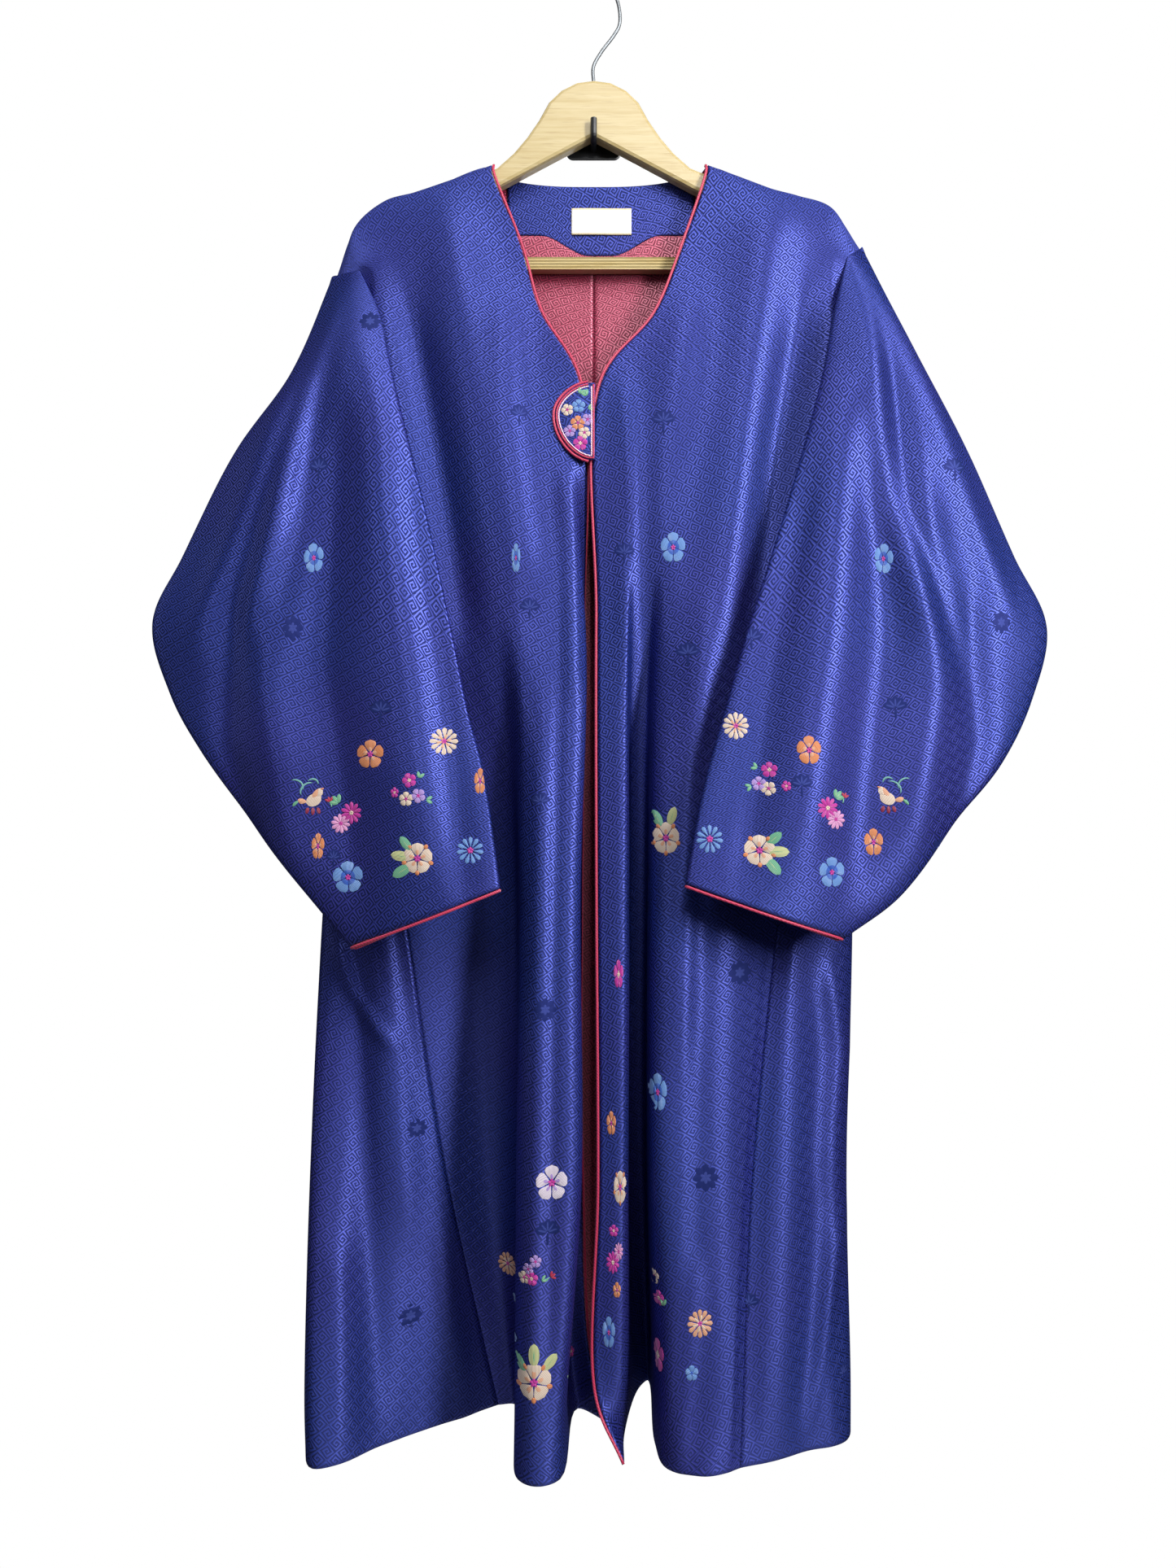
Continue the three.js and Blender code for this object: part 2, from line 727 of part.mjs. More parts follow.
addPiece(jacket, 'back_lining_right', clothWall(liningGrid(grids.back_right, -1), thinCloth), redSilk());

// The cuff linings show inside the open ends of the sleeves: the last rings, drawn in at their two
// folds and with flatter layers
function cuffLiningGrid(rings) {
  const drawIn = 10;
  const cuffRings = 3;
  const rows = rings.slice(-cuffRings).map((row) => {
    const fold = vector(row.fold);
    const end = vector(row.outer).lerp(vector(row.under), 0.5);
    const inwards = end.clone().sub(fold).normalize().multiplyScalar(drawIn);
    const innerEnd = end.sub(inwards);
    return ringPoints({
      fold: fold.add(inwards).toArray(),
      outer: [innerEnd.x, innerEnd.y - thinCloth, innerEnd.z],
      under: [innerEnd.x, innerEnd.y + thinCloth, innerEnd.z],
      bow: [row.bow[0] - 4, 0, 0, row.bow[3] - 3, row.bow[4] - 3],
    });
  });
  return smoothGrid(rows, sleeveAcross, 1, true);
}
const cuffLinings = [
  ['cuff_lining_left', cuffLiningGrid(leftSleeveRings)],
  ['cuff_lining_right', cuffLiningGrid(rightSleeveRings)],
];
cuffLinings.forEach(([name, grid]) => addPiece(jacket, name, clothWall(grid, thinCloth, true), redSilk()));

// The half moon closure tab lies on the top of the wearer's right front
const tabStraightX = 1;
const tabTopZ = -230;
const tabBottomZ = -293;
const tabWidth = 32;
const tabBulgeShare = 0.42;
const tabTopY = -48.8;
const tabBottomY = -53.3;

// The curved side of the tab at a share of its height, fullest a little above the middle
function tabEdge(share) {
  const rise = share < tabBulgeShare
    ? Math.sin((Math.PI / 2) * (share / tabBulgeShare))
    : Math.cos((Math.PI / 2) * ((share - tabBulgeShare) / (1 - tabBulgeShare)));
  return tabStraightX - 1.5 - (tabWidth - 1.5) * Math.sqrt(Math.max(rise, 0));
}
const tabGrid = [];
const tabRows = 12;
const tabColumns = 4;
for (let i = 0; i <= tabRows; i += 1) {
  const share = mix(0.01, 0.99, i / tabRows);
  const z = mix(tabTopZ, tabBottomZ, share);
  const row = [];
  for (let j = 0; j <= tabColumns; j += 1) {
    const x = mix(tabEdge(share), tabStraightX, j / tabColumns);
    const y = mix(tabTopY, tabBottomY, share);
    row.push(new THREE.Vector3(x, y, z));
  }
  tabGrid.push(row);
}
addPiece(jacket, 'closure_tab', clothWall(tabGrid, cloth), navySilk());
const tabLoop = tabGrid.map((row, index) => {
  const above = tabGrid[Math.max(index - 1, 0)][0];
  const below = tabGrid[Math.min(index + 1, tabRows)][0];
  const along = below.clone().sub(above);
  const outwards = new THREE.Vector3(along.z, 0, -along.x).normalize();
  return row[0].clone().addScaledVector(outwards, pipingReach + 0.2);
});
addPiece(jacket, 'piping_tab', rod(tabLoop, pipingRadius, 6), redPiping());

// The wooden hanger body: half outlines of its top and underside, mirrored
const hanger = new THREE.Group();
jacket.add(hanger);
const woodTop = [
  [0, peakZ], [14, 27.5], [27, 21], [37, 11.5], [45, -3], [55, -17.5], [66, -30.5], [80, -42.9],
  [95, -49], [120, -57.8], [150, -67.8], [174, -76.3], [182, -82], [armEndX, -91], [179, -104], [170, -122],
];
const woodUnder = [
  [164, -131], [152, -131], [barHalfLength + seamGap, -126], [barHalfLength + seamGap, -112], [146, -98],
  [130, -84], [110, -73.5], [82, -61], [40, -38.5],
];
const woodHalf = [...woodTop, ...woodUnder];
const woodOutline = [...woodHalf, [0, notchZ], ...woodHalf.slice(1).reverse().map(([x, z]) => [-x, z])];
const woodShape = new THREE.Shape(woodOutline.map(([x, z]) => new THREE.Vector2(x, z)));
const woodGeometry = new THREE.ExtrudeGeometry(woodShape, {
  depth: woodDepth - 2 * woodBevel,
  bevelThickness: woodBevel,
  bevelSize: woodBevel,
  bevelOffset: -woodBevel,
  bevelSegments: 2,
});
woodGeometry.applyMatrix4(facingForward);
const wood = addPiece(hanger, 'hanger_body', woodGeometry, paleWood());
wood.position.y = woodBackY - woodBevel;

// The trouser bar between the arms, ribbed lengthwise on its front
const barDepth = 10;
const ribs = 4;
const barShape = new THREE.Shape();
barShape.moveTo(barDepth / 2, -barHeight / 2);
barShape.lineTo(barDepth / 2, barHeight / 2);
for (let rib = ribs; rib >= 0; rib -= 1) {
  const z = barHeight * (rib / ribs - 0.5);
  barShape.lineTo(-barDepth / 2, z);
  if (rib > 0) barShape.lineTo(-barDepth / 2 + 0.8, z - barHeight / ribs / 2);
}
const barGeometry = new THREE.ExtrudeGeometry(barShape, { depth: 2 * barHalfLength, bevelEnabled: false });
barGeometry.applyMatrix4(basis([0, 1, 0], [0, 0, 1], [1, 0, 0]));
const bar = addPiece(hanger, 'hanger_bar', barGeometry, paleWood());
bar.position.set(-barHalfLength, woodBackY - woodDepth / 2, barZ);

// The wire hook rises from the peak of the wood and bends over in a round hook
const wireY = woodBackY - woodDepth / 2;
const wirePath = [
  [0, peakZ + seamGap], [-0.3, 43], [6, 55], [16.5, 69], [21, 77], [21.8, 86], [19, 100], [11, 114],
  [-2, 123], [-14, 124], [-22, 120],
].map(([x, z]) => new THREE.Vector3(x, wireY, z));
addPiece(hanger, 'hanger_hook', rod(smoothLine(wirePath, 2), wireRadius, 8), greyWire());

// The wall hook: a plate fixed to the wall and a bent rod that carries the hanger's notch
const cornerRadius = 6;
const halfWide = plateWidth / 2;
const halfHigh = plateHeight / 2;
const plateShape = new THREE.Shape();
plateShape.moveTo(-halfWide + cornerRadius, -halfHigh);
plateShape.lineTo(halfWide - cornerRadius, -halfHigh);
plateShape.absarc(halfWide - cornerRadius, -halfHigh + cornerRadius, cornerRadius, -Math.PI / 2, 0);
plateShape.lineTo(halfWide, halfHigh - cornerRadius);
plateShape.absarc(halfWide - cornerRadius, halfHigh - cornerRadius, cornerRadius, 0, Math.PI / 2);
plateShape.lineTo(-halfWide + cornerRadius, halfHigh);
plateShape.absarc(-halfWide + cornerRadius, halfHigh - cornerRadius, cornerRadius, Math.PI / 2, Math.PI);
plateShape.lineTo(-halfWide, -halfHigh + cornerRadius);
plateShape.absarc(-halfWide + cornerRadius, -halfHigh + cornerRadius, cornerRadius, Math.PI, 1.5 * Math.PI);
const plateGeometry = new THREE.ExtrudeGeometry(plateShape, {
  depth: plateDepth,
  bevelEnabled: false,
  curveSegments: 4,
});
plateGeometry.applyMatrix4(facingForward);
addPiece(hanger, 'wall_plate', plateGeometry, blackPaint());

const rodZ = notchZ - seamGap - rodRadius;
const rodFrontY = woodBackY - woodDepth - rodRadius - 1.2;
const rodPath = [
  [0, -plateDepth - seamGap, rodZ], [0, -14, rodZ], [0, rodFrontY + 4, rodZ], [0, rodFrontY + 1, rodZ + 2],
  [0, rodFrontY, rodZ + 5], [0, rodFrontY - 0.5, -5],
].map(vector);
addPiece(hanger, 'wall_hook', rod(smoothLine(rodPath, 2), rodRadius, 8), blackPaint());

export default jacket;
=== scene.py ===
import math

import bpy
import numpy as np
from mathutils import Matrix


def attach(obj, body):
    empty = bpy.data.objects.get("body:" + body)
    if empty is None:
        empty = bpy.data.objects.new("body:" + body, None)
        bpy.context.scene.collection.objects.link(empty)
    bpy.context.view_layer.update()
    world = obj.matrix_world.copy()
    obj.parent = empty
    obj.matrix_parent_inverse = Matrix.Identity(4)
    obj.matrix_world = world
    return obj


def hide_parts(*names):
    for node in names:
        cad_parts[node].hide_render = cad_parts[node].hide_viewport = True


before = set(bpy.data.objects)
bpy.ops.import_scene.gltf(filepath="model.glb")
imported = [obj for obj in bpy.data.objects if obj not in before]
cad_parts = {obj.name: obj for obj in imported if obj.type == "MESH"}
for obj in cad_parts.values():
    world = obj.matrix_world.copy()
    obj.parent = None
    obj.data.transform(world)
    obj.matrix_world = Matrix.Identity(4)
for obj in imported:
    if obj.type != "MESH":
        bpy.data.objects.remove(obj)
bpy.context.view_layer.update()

# Camera, floor and light
# The camera stands level with the middle of the coat, which hangs before a white ground. Soft panels
# light it, the strongest from the right. Lengths are in millimetres until a mesh is made.
MM = 0.001
PHOTO_WIDTH = 1445
PHOTO_HEIGHT = 1927
PHOTO_FOCAL = 1500
CAMERA_PLACE = np.array([-4.7, -1027, -551.5])
SENSOR = 36
FLOOR_Z = -1900
FLOOR_RADIUS = 880
FLOOR_SIDES = 64


def linear(sheet_colour):
    """The scene's linear colour for an sRGB hex value such as 2f3f9a."""
    channels = np.array([int(sheet_colour[i:i + 2], 16) for i in (0, 2, 4)]) / 255
    bright = ((channels + 0.055) / 1.055) ** 2.4
    return tuple(np.where(channels <= 0.04045, channels / 12.92, bright)) + (1.0,)


def node(tree, kind, settings=None, **links):
    """Adds a shader node with its settings; each link names an input and gives its value or source."""
    made = tree.nodes.new("ShaderNode" + kind)
    for name, value in (settings or {}).items():
        setattr(made, name, value)
    for name, value in links.items():
        key = int(name[1:]) if name[0] == "_" and name[1:].isdigit() else name.replace("_", " ")
        if isinstance(value, bpy.types.NodeSocket):
            tree.links.new(value, made.inputs[key])
        else:
            made.inputs[key].default_value = value
    return made


def arithmetic(tree, operation, *values):
    """The result of a math node over its values."""
    links = {"_" + str(place): value for place, value in enumerate(values)}
    return node(tree, "Math", {"operation": operation}, **links).outputs[0]


def mixed(tree, share, first, second):
    """A colour between two, by a share."""
    return node(tree, "Mix", {"data_type": "RGBA"}, _0=share, _6=first, _7=second).outputs[2]


def new_material(name):
    """A material with an empty tree, and the tree."""
    material = bpy.data.materials.new(name)
    material.use_nodes = True
    material.node_tree.nodes.clear()
    return material, material.node_tree


def surface(tree, **links):
    """The shader of the surface, joined to the material's output."""
    shader = node(tree, "BsdfPrincipled", **links)
    node(tree, "OutputMaterial", Surface=shader.outputs[0])
    return shader


def new_object(name, data):
    """An object at the origin that holds the data, in the scene."""
    made = bpy.data.objects.new(name, data)
    bpy.context.scene.collection.objects.link(made)
    return made


camera_data = bpy.data.cameras.new("camera")
camera_data.sensor_width = SENSOR
camera_data.lens = SENSOR * PHOTO_FOCAL / PHOTO_HEIGHT
camera_data.clip_start = 0.05
camera = new_object("camera", camera_data)
camera.location = CAMERA_PLACE * MM
camera.rotation_euler = (math.pi / 2, 0, 0)
bpy.context.scene.camera = camera
bpy.context.scene.view_settings.view_transform = "Standard"

# A round of floor under the coat, far below the picture. Its matt paint gives a pale, even ground.
angles = np.linspace(0, 2 * np.pi, FLOOR_SIDES, endpoint=False)
rim = np.stack([np.cos(angles), np.sin(angles), np.full(FLOOR_SIDES, FLOOR_Z / FLOOR_RADIUS)], axis=1)
rim *= FLOOR_RADIUS
floor_mesh = bpy.data.meshes.new("floor")
floor_mesh.from_pydata((rim * MM).tolist(), [], [list(range(FLOOR_SIDES))])
floor = new_object("floor", floor_mesh)
floor_paint, tree = new_material("pale_floor_paint")
noise = node(tree, "TexNoise", Scale=30.0)
tone = node(tree, "MapRange", Value=noise.outputs["Fac"], To_Min=0.55, To_Max=0.65)
surface(tree, Base_Color=linear("e9e7e2"), Roughness=tone.outputs[0])
floor_mesh.materials.append(floor_paint)

# The camera sees plain white; the cloth gets only a faint cool fill from it, so the panels model it.
world = bpy.data.worlds.new("white_ground")
world.use_nodes = True
world.node_tree.nodes.clear()
tree = world.node_tree
seen = node(tree, "LightPath")
white = node(tree, "Background", Color=linear("ffffff"), Strength=1.0)
fill = node(tree, "Background", Color=linear("dfe6ff"), Strength=0.045)
ground = node(tree, "MixShader", _0=seen.outputs["Is Camera Ray"], _1=fill.outputs[0], _2=white.outputs[0])
node(tree, "OutputWorld", Surface=ground.outputs[0])
bpy.context.scene.world = world

# Each soft panel: name, place, the point it faces, width, height and power
SOFT_PANELS = [
    ("panel_left", (-900, -1500, 400), (0, -60, -350), 240, 1000, 5),
    ("panel_right", (1250, -1300, 300), (0, -60, -350), 340, 1300, 46),
    ("panel_front", (200, -1600, 900), (0, -60, -300), 360, 800, 12),
    ("panel_above", (0, -1100, 1300), (0, -60, -300), 1000, 400, 12),
    ("window_side", (-2000, -300, 300), (0, -60, -400), 300, 1200, 3),
    ("panel_behind", (300, 1600, 200), (0, 0, -500), 1200, 1200, 20),
]
for name, place, target, width, height, power in SOFT_PANELS:
    light = bpy.data.lights.new(name, "AREA")
    light.shape = "RECTANGLE"
    light.size = width * MM
    light.size_y = height * MM
    light.energy = power
    panel = new_object(name, light)
    panel.location = np.array(place) * MM
    back = np.array(place, float) - np.array(target, float)
    back /= np.linalg.norm(back)
    turn = math.atan2(back[0], -back[1])
    panel.rotation_euler = (math.pi / 2 - math.asin(back[2]), 0, turn)

# Fronts
# Two silk panels cut in one from shoulder to hem, navy jacquard outside and crimson lining inside.
# Each hangs in deep folds below the chest; the wearer's left front is at positive X.
CLOTH = 1.6
SHOULDER_Y = -14.5
LEVELS = [-420, -640, -850, -1005, -1045]
LEFT_FRONT = [
    ("front edge", 0, (3.5, -58), (3.5, -85), (4.5, -112), (2.5, -122), (21, -140)),
    ("strip end", 0.1, (25, -60), (24, -88), (22, -114), (21, -116), (22, -102)),
    ("near valley", 0.18, (31, -54), (28, -38), (27, -28), (33, -28), (36, -30)),
    ("far valley", 0.28, (45, -53), (42, -34), (41, -22), (44, -17), (45, -16)),
    ("fold edge", 0.38, (54, -60), (46, -92), (45, -122), (46, -118), (46, -112)),
    ("fold front", 0.52, (77, -65), (68, -97), (63, -128), (54, -142), (53, -147)),
    ("fold middle", 0.72, (120, -60), (107, -84), (94, -115), (80, -143), (76, -156)),
    ("side seam", 1, (190, -44), (147, -70), (119, -103), (108, -136), (105, -146)),
]
RIGHT_FRONT = [
    ("front edge", 0, (-8, -44), (-10, -62), (-10, -58), (-3, -66), (12, -84)),
    ("tuck", 0.05, (-9, -52), (-14, -74), (-16, -66), (-19, -58), (-13, -62)),
    ("roll", 0.12, (-8, -60), (-12, -98), (-12, -130), (-24, -152), (-25, -160)),
    ("column front", 0.24, (-29, -66), (-30, -105), (-32, -137), (-38, -159), (-38, -169)),
    ("column edge", 0.4, (-58, -64), (-54, -97), (-54, -129), (-54, -150), (-54, -160)),
    ("near valley", 0.55, (-78, -57), (-62, -62), (-61, -64), (-59, -75), (-58, -80)),
    ("far valley", 0.75, (-115, -54), (-90, -52), (-82, -50), (-67, -55), (-63, -55)),
    ("side seam", 1, (-190, -44), (-152, -63), (-118, -64), (-85, -57), (-76, -56)),
]
SHOULDER_TOP = {
    "left": [(94, -39.5), (120, -49), (150, -60), (183, -69), (203, -80), (220, -108)],
    "right": [(-84, -39.5), (-110, -49), (-145, -61), (-176, -71), (-196, -90), (-212, -130)],
}
NECK_EDGE = {
    "left": [(73, -30, -112), (50, -38, -170), (6.5, -46, -228)],
    "right": [(-60, -30, -112), (-44, -38, -168), (-12, -46, -228)],
}
ARMHOLE_FRONT = {
    "left": [(207, -27, -124), (206, -31, -180), (204, -35, -240)],
    "right": [(-190, -27, -134), (-192, -31, -185), (-194, -35, -240)],
}
# The two rows next to the shoulder's top: their depth, how far they lie below it, and how far along
# the armhole's first step they end
CREST = (-21.4, -2.2, 0.3)
DROP = (-24.3, -8, 0.7)
SHOULDER_END_DROP = 1
CHEST_BELLY = [1, 2, 3]
TO_VIEWER = np.array([0.0, -1.0, 0.0])
SEAM_OVERLAP = 0.15
FIRST_EDGE = (0, 1)
LAST_EDGE = (-1, -2)
# Where the soft folds fade: the share of the width at the side seam, the rows under the shoulder
# that stay still, and the rows that they then take to grow
FRONT_SEAM_SHARE = 0.08
FRONT_STILL_ROWS = 4
FRONT_FADE_ROWS = 12
FRONT_ACROSS = [8, 8, 10, 10, 14, 20, 26]
FRONT_DOWN = [3, 4, 14, 14, 16, 46, 52, 50, 38, 14]

# Soft folds that run down the cloth: heights, the place across at each, width and depth towards
# the viewer; a minus depth is a trough
LEFT_FRONT_FOLDS = [
    ([-60, -250, -500], [140, 116, 88], 30, 8.0),
    ([-140, -300, -470], [196, 172, 150], 24, 8.0),
    ([-160, -280, -440], [166, 142, 116], 15, -4.5),
    ([-150, -280, -440], [72, 54, 44], 22, 4.5),
    ([-230, -330, -480], [22, 26, 27], 10, 3.0),
    ([-520, -700, -1045], [106, 96, 86], 28, 5.5),
    ([-560, -900, -1045], [78, 70, 60], 14, -3.5),
    ([-420, -560, -760], [84, 70, 62], 14, 4.0),
    ([-900, -980, -1045], [72, 66, 58], 9, 3.0),
]
RIGHT_FRONT_FOLDS = [
    ([-70, -260, -500], [-128, -102, -74], 30, 8.5),
    ([-130, -300, -470], [-184, -158, -134], 24, 8.0),
    ([-160, -290, -440], [-154, -128, -102], 15, -4.5),
    ([-150, -260, -400], [-78, -74, -58], 18, 4.5),
    ([-300, -360, -480], [-24, -20, -18], 9, 3.0),
    ([-520, -800, -1040], [-42, -44, -48], 9, 3.5),
    ([-420, -700, -1000], [-28, -32, -34], 7, -2.2),
]


def smooth(points, steps, closed=False):
    """A smooth line through points along the first axis: a centripetal Catmull-Rom curve, whose
    tangent at a point weighs its neighbours by the square root of their distance."""
    points = np.asarray(points, float)
    if closed:
        extended = np.concatenate([points[-1:], points, points[:2]])
    else:
        first = 2 * points[:1] - points[1:2]
        last = 2 * points[-1:] - points[-2:-1]
        extended = np.concatenate([first, points, last])
    spans = len(extended) - 3
    counts = np.broadcast_to(steps, spans)
    span = np.repeat(np.arange(spans), counts)
    share = np.concatenate([np.arange(count) / count for count in counts])
    share = share.reshape((-1,) + (1,) * (points.ndim - 1))
    gap = np.sqrt(np.linalg.norm(np.diff(extended, axis=0), axis=-1, keepdims=True))
    gap = np.maximum(gap, 1e-4)
    a, b, c, d = (extended[span + k] for k in range(4))
    before, here, after = (gap[span + k] for k in range(3))
    start = ((b - a) / before - (c - a) / (before + here) + (c - b) / here) * here
    end = ((c - b) / here - (d - b) / (here + after) + (d - c) / after) * here
    bend = -3 * b + 3 * c - 2 * start - end
    twist = 2 * b - 2 * c + start + end
    line = b + start * share + bend * share ** 2 + twist * share ** 3
    return line if closed else np.concatenate([line, points[-1:]])


def smooth_grid(rows, across, down, closed=False):
    """Rows of guide points made smooth across, then down."""
    fine = smooth(np.swapaxes(np.asarray(rows, float), 0, 1), across, closed)
    return smooth(np.swapaxes(fine, 0, 1), down)


def grid_normals(grid, closed=False):
    """The unit direction square to a grid: the cross product of its steps across and down."""
    if closed:
        across = np.roll(grid, -1, axis=1) - np.roll(grid, 1, axis=1)
    else:
        across = np.gradient(grid, axis=1)
    normals = np.cross(across, np.gradient(grid, axis=0))
    return normals / np.maximum(np.linalg.norm(normals, axis=-1, keepdims=True), 1e-9)


FOLD_FADE = 0.28
FOLD_OVERRUN = 0.4
FOLD_LEAN = 0.35
FOLD_STEEPNESS = 1.5


def eased(share):
    """A share from 0 to 1 with a soft start and end: three of its squares less two of its cubes."""
    return share * share * (3 - 2 * share)


def fold_field(x, z, folds):
    """How far folds lift the cloth at x and z: each is a bell across its line, steeper on one side,
    and fades in and out along it."""
    lift = np.zeros_like(x)
    for heights, places, width, depth in folds:
        order = np.argsort(heights)
        line = np.interp(z, np.array(heights)[order], np.array(places, float)[order])
        top, bottom = max(heights), min(heights)
        reach = (top - bottom) * FOLD_FADE
        overrun = reach * FOLD_OVERRUN
        fade = np.clip((top + overrun - z) / reach, 0, 1) * np.clip((z - bottom + overrun) / reach, 0, 1)
        side = (x - line) / width
        bell = np.exp(-side ** 2) * (1 + FOLD_LEAN * np.tanh(side * FOLD_STEEPNESS))
        lift += depth * bell * eased(fade)
    return lift


def over_seams(grid, *edges):
    """Moves edge columns a little past their seams, away from the column beside each, so that no
    light shows between two panels."""
    for edge, beside in edges:
        step = grid[:, beside] - grid[:, edge]
        grid[:, edge] -= step / np.linalg.norm(step, axis=-1, keepdims=True) * SEAM_OVERLAP
    return grid


def along_shoulder(side, share):
    """The point at a share of the length along the top of a shoulder."""
    top = np.array(SHOULDER_TOP[side], float)
    points = np.stack([top[:, 0], np.full(len(top), SHOULDER_Y), top[:, 1] - CLOTH / 2], axis=1)
    line = smooth(points, 40)
    length = np.concatenate([[0], np.cumsum(np.linalg.norm(np.diff(line, axis=0), axis=1))])
    return np.stack([np.interp(share, length / length[-1], line[:, k]) for k in range(3)], axis=-1)


def level_rows(lines):
    """Rows of points at the measured levels, from the lines down a panel."""
    pairs = np.array([line[-len(LEVELS):] for line in lines], float)
    heights = np.broadcast_to(np.array(LEVELS, float)[:, None], (len(LEVELS), len(lines)))
    return np.concatenate([np.swapaxes(pairs, 0, 1), heights[..., None]], axis=2)


def front_grid(lines, side, folds):
    """A front panel: over the shoulder, down the chest and out into the folds. The soft folds fade
    to nothing at the side seam and over the shoulder, so seams stay together."""
    shares = np.array([line[1] for line in lines], float)
    top = along_shoulder(side, shares)
    crest, drop = top.copy(), top.copy()
    end = np.array(ARMHOLE_FRONT[side][0], float)
    for row, (y, below, share) in ((crest, CREST), (drop, DROP)):
        row[:, 1] = y
        row[:, 2] += below
        row[-1] = top[-1] + (end - top[-1]) * share
        row[-1, 1] = y
        row[-1, 2] -= SHOULDER_END_DROP
    upper = []
    for neck, arm, belly in zip(NECK_EDGE[side], ARMHOLE_FRONT[side], CHEST_BELLY):
        row = np.array(neck, float) + (np.array(arm, float) - np.array(neck, float)) * shares[:, None]
        row[:, 1] -= belly * np.sin(np.pi * shares)
        upper.append(row)
    rows = [top, crest, drop, *upper, *level_rows(lines)]
    grid = smooth_grid(rows, FRONT_ACROSS, FRONT_DOWN)
    grid[0, :, 1] -= CLOTH / 2
    columns = np.linspace(0, 1, grid.shape[1])[None, :]
    rows = np.arange(grid.shape[0])[:, None]
    free = np.clip((1 - columns) / FRONT_SEAM_SHARE, 0, 1)
    free = free * np.clip((rows - FRONT_STILL_ROWS) / FRONT_FADE_ROWS, 0, 1)
    grid[..., 1] -= fold_field(grid[..., 0], grid[..., 2], folds) * free
    return over_seams(grid, LAST_EDGE)


def cloth_measures(grid, closed=False):
    """Distances over the cloth in millimetres, across from the first column and down from the top."""
    ring = np.concatenate([grid, grid[:, :1]], axis=1) if closed else grid
    across = np.linalg.norm(np.diff(ring, axis=1), axis=2)
    across = np.concatenate([np.zeros((len(grid), 1)), np.cumsum(across, axis=1)], axis=1)
    down = np.linalg.norm(np.diff(ring, axis=0), axis=2).mean(axis=1)
    down = np.concatenate([[0], np.cumsum(down)])
    return across, np.broadcast_to(down[:, None], across.shape)


def cloth_piece(name, grid, outside, inside, outward, thickness=CLOTH, closed=False):
    """A cloth shell over a grid: one face for each cell, turned to the outward direction, with a UV
    map in millimetres over the cloth, and thickened with the lining's colour on its inner side."""
    rows, columns = grid.shape[:2]
    index = np.arange(rows * columns).reshape(rows, columns)
    ring = np.concatenate([index, index[:, :1]], axis=1) if closed else index
    corners = [ring[:-1, :-1], ring[:-1, 1:], ring[1:, 1:], ring[1:, :-1]]
    across, down = cloth_measures(grid, closed)
    places = np.stack([across, -down], axis=-1)
    places_at = [places[:-1, :-1], places[:-1, 1:], places[1:, 1:], places[1:, :-1]]
    faces = np.stack(corners, axis=-1).reshape(-1, 4)
    uvs = np.stack(places_at, axis=2).reshape(-1, 4, 2)
    points = grid.reshape(-1, 3)
    a, b, d = (points[faces[:, k]] for k in (0, 1, 3))
    facing = np.cross(b - a, d - a)
    if np.sum(facing * outward) < 0:
        faces = faces[:, ::-1]
        uvs = uvs[:, ::-1]
    mesh = bpy.data.meshes.new(name)
    mesh.from_pydata((points * MM).tolist(), [], faces.tolist())
    layer = mesh.uv_layers.new(name="cloth_mm")
    layer.data.foreach_set("uv", uvs.ravel())
    mesh.polygons.foreach_set("use_smooth", np.ones(len(faces), bool))
    mesh.materials.append(outside)
    mesh.materials.append(inside)
    piece = new_object(name, mesh)
    shell = piece.modifiers.new("cloth thickness", "SOLIDIFY")
    shell.thickness = thickness * MM
    shell.offset = 0
    shell.material_offset = 1
    shell.use_quality_normals = True
    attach(piece, "root")
    return piece


def fret_lines(tree, vector, unit, turn):
    """A square meander: each cell of a tilted checker holds a spiral of square rings, mirrored in
    every other cell. The ring number is the larger of the two distances from the cell's centre
    plus the turn round it. The result is 1 in the woven lines and 0 between them."""
    placed = node(tree, "Mapping", Vector=vector, Rotation=(0, 0, turn), Scale=(1 / unit, 1 / unit, 1))
    parts = node(tree, "SeparateXYZ", Vector=placed.outputs[0])
    along, up = parts.outputs[0], parts.outputs[1]
    cells = arithmetic(tree, "ADD", arithmetic(tree, "FLOOR", along), arithmetic(tree, "FLOOR", up))
    odd = arithmetic(tree, "FRACT", arithmetic(tree, "MULTIPLY", cells, 0.5))
    sign = arithmetic(tree, "MULTIPLY_ADD", odd, -4.0, 1.0)
    plain_x = arithmetic(tree, "SUBTRACT", arithmetic(tree, "FRACT", along), 0.5)
    local_x = arithmetic(tree, "MULTIPLY", plain_x, sign)
    local_y = arithmetic(tree, "SUBTRACT", arithmetic(tree, "FRACT", up), 0.5)
    size_x, size_y = (arithmetic(tree, "ABSOLUTE", local) for local in (local_x, local_y))
    ring = arithmetic(tree, "MAXIMUM", size_x, size_y)
    share = arithmetic(tree, "MULTIPLY", arithmetic(tree, "ARCTAN2", local_y, local_x), 1 / (2 * math.pi))
    wave = arithmetic(tree, "PINGPONG", arithmetic(tree, "MULTIPLY_ADD", ring, 4.0, share), 0.5)
    return node(tree, "MapRange", {"interpolation_type": "SMOOTHSTEP"}, Value=wave,
                From_Min=0.2, From_Max=0.32).outputs[0]


# The width of one cell of the fret, and its tilt. The threads under it are drawn coarser than real,
# or they would not show.
FRET_UNIT = 8.5
FRET_TURN = math.radians(27)


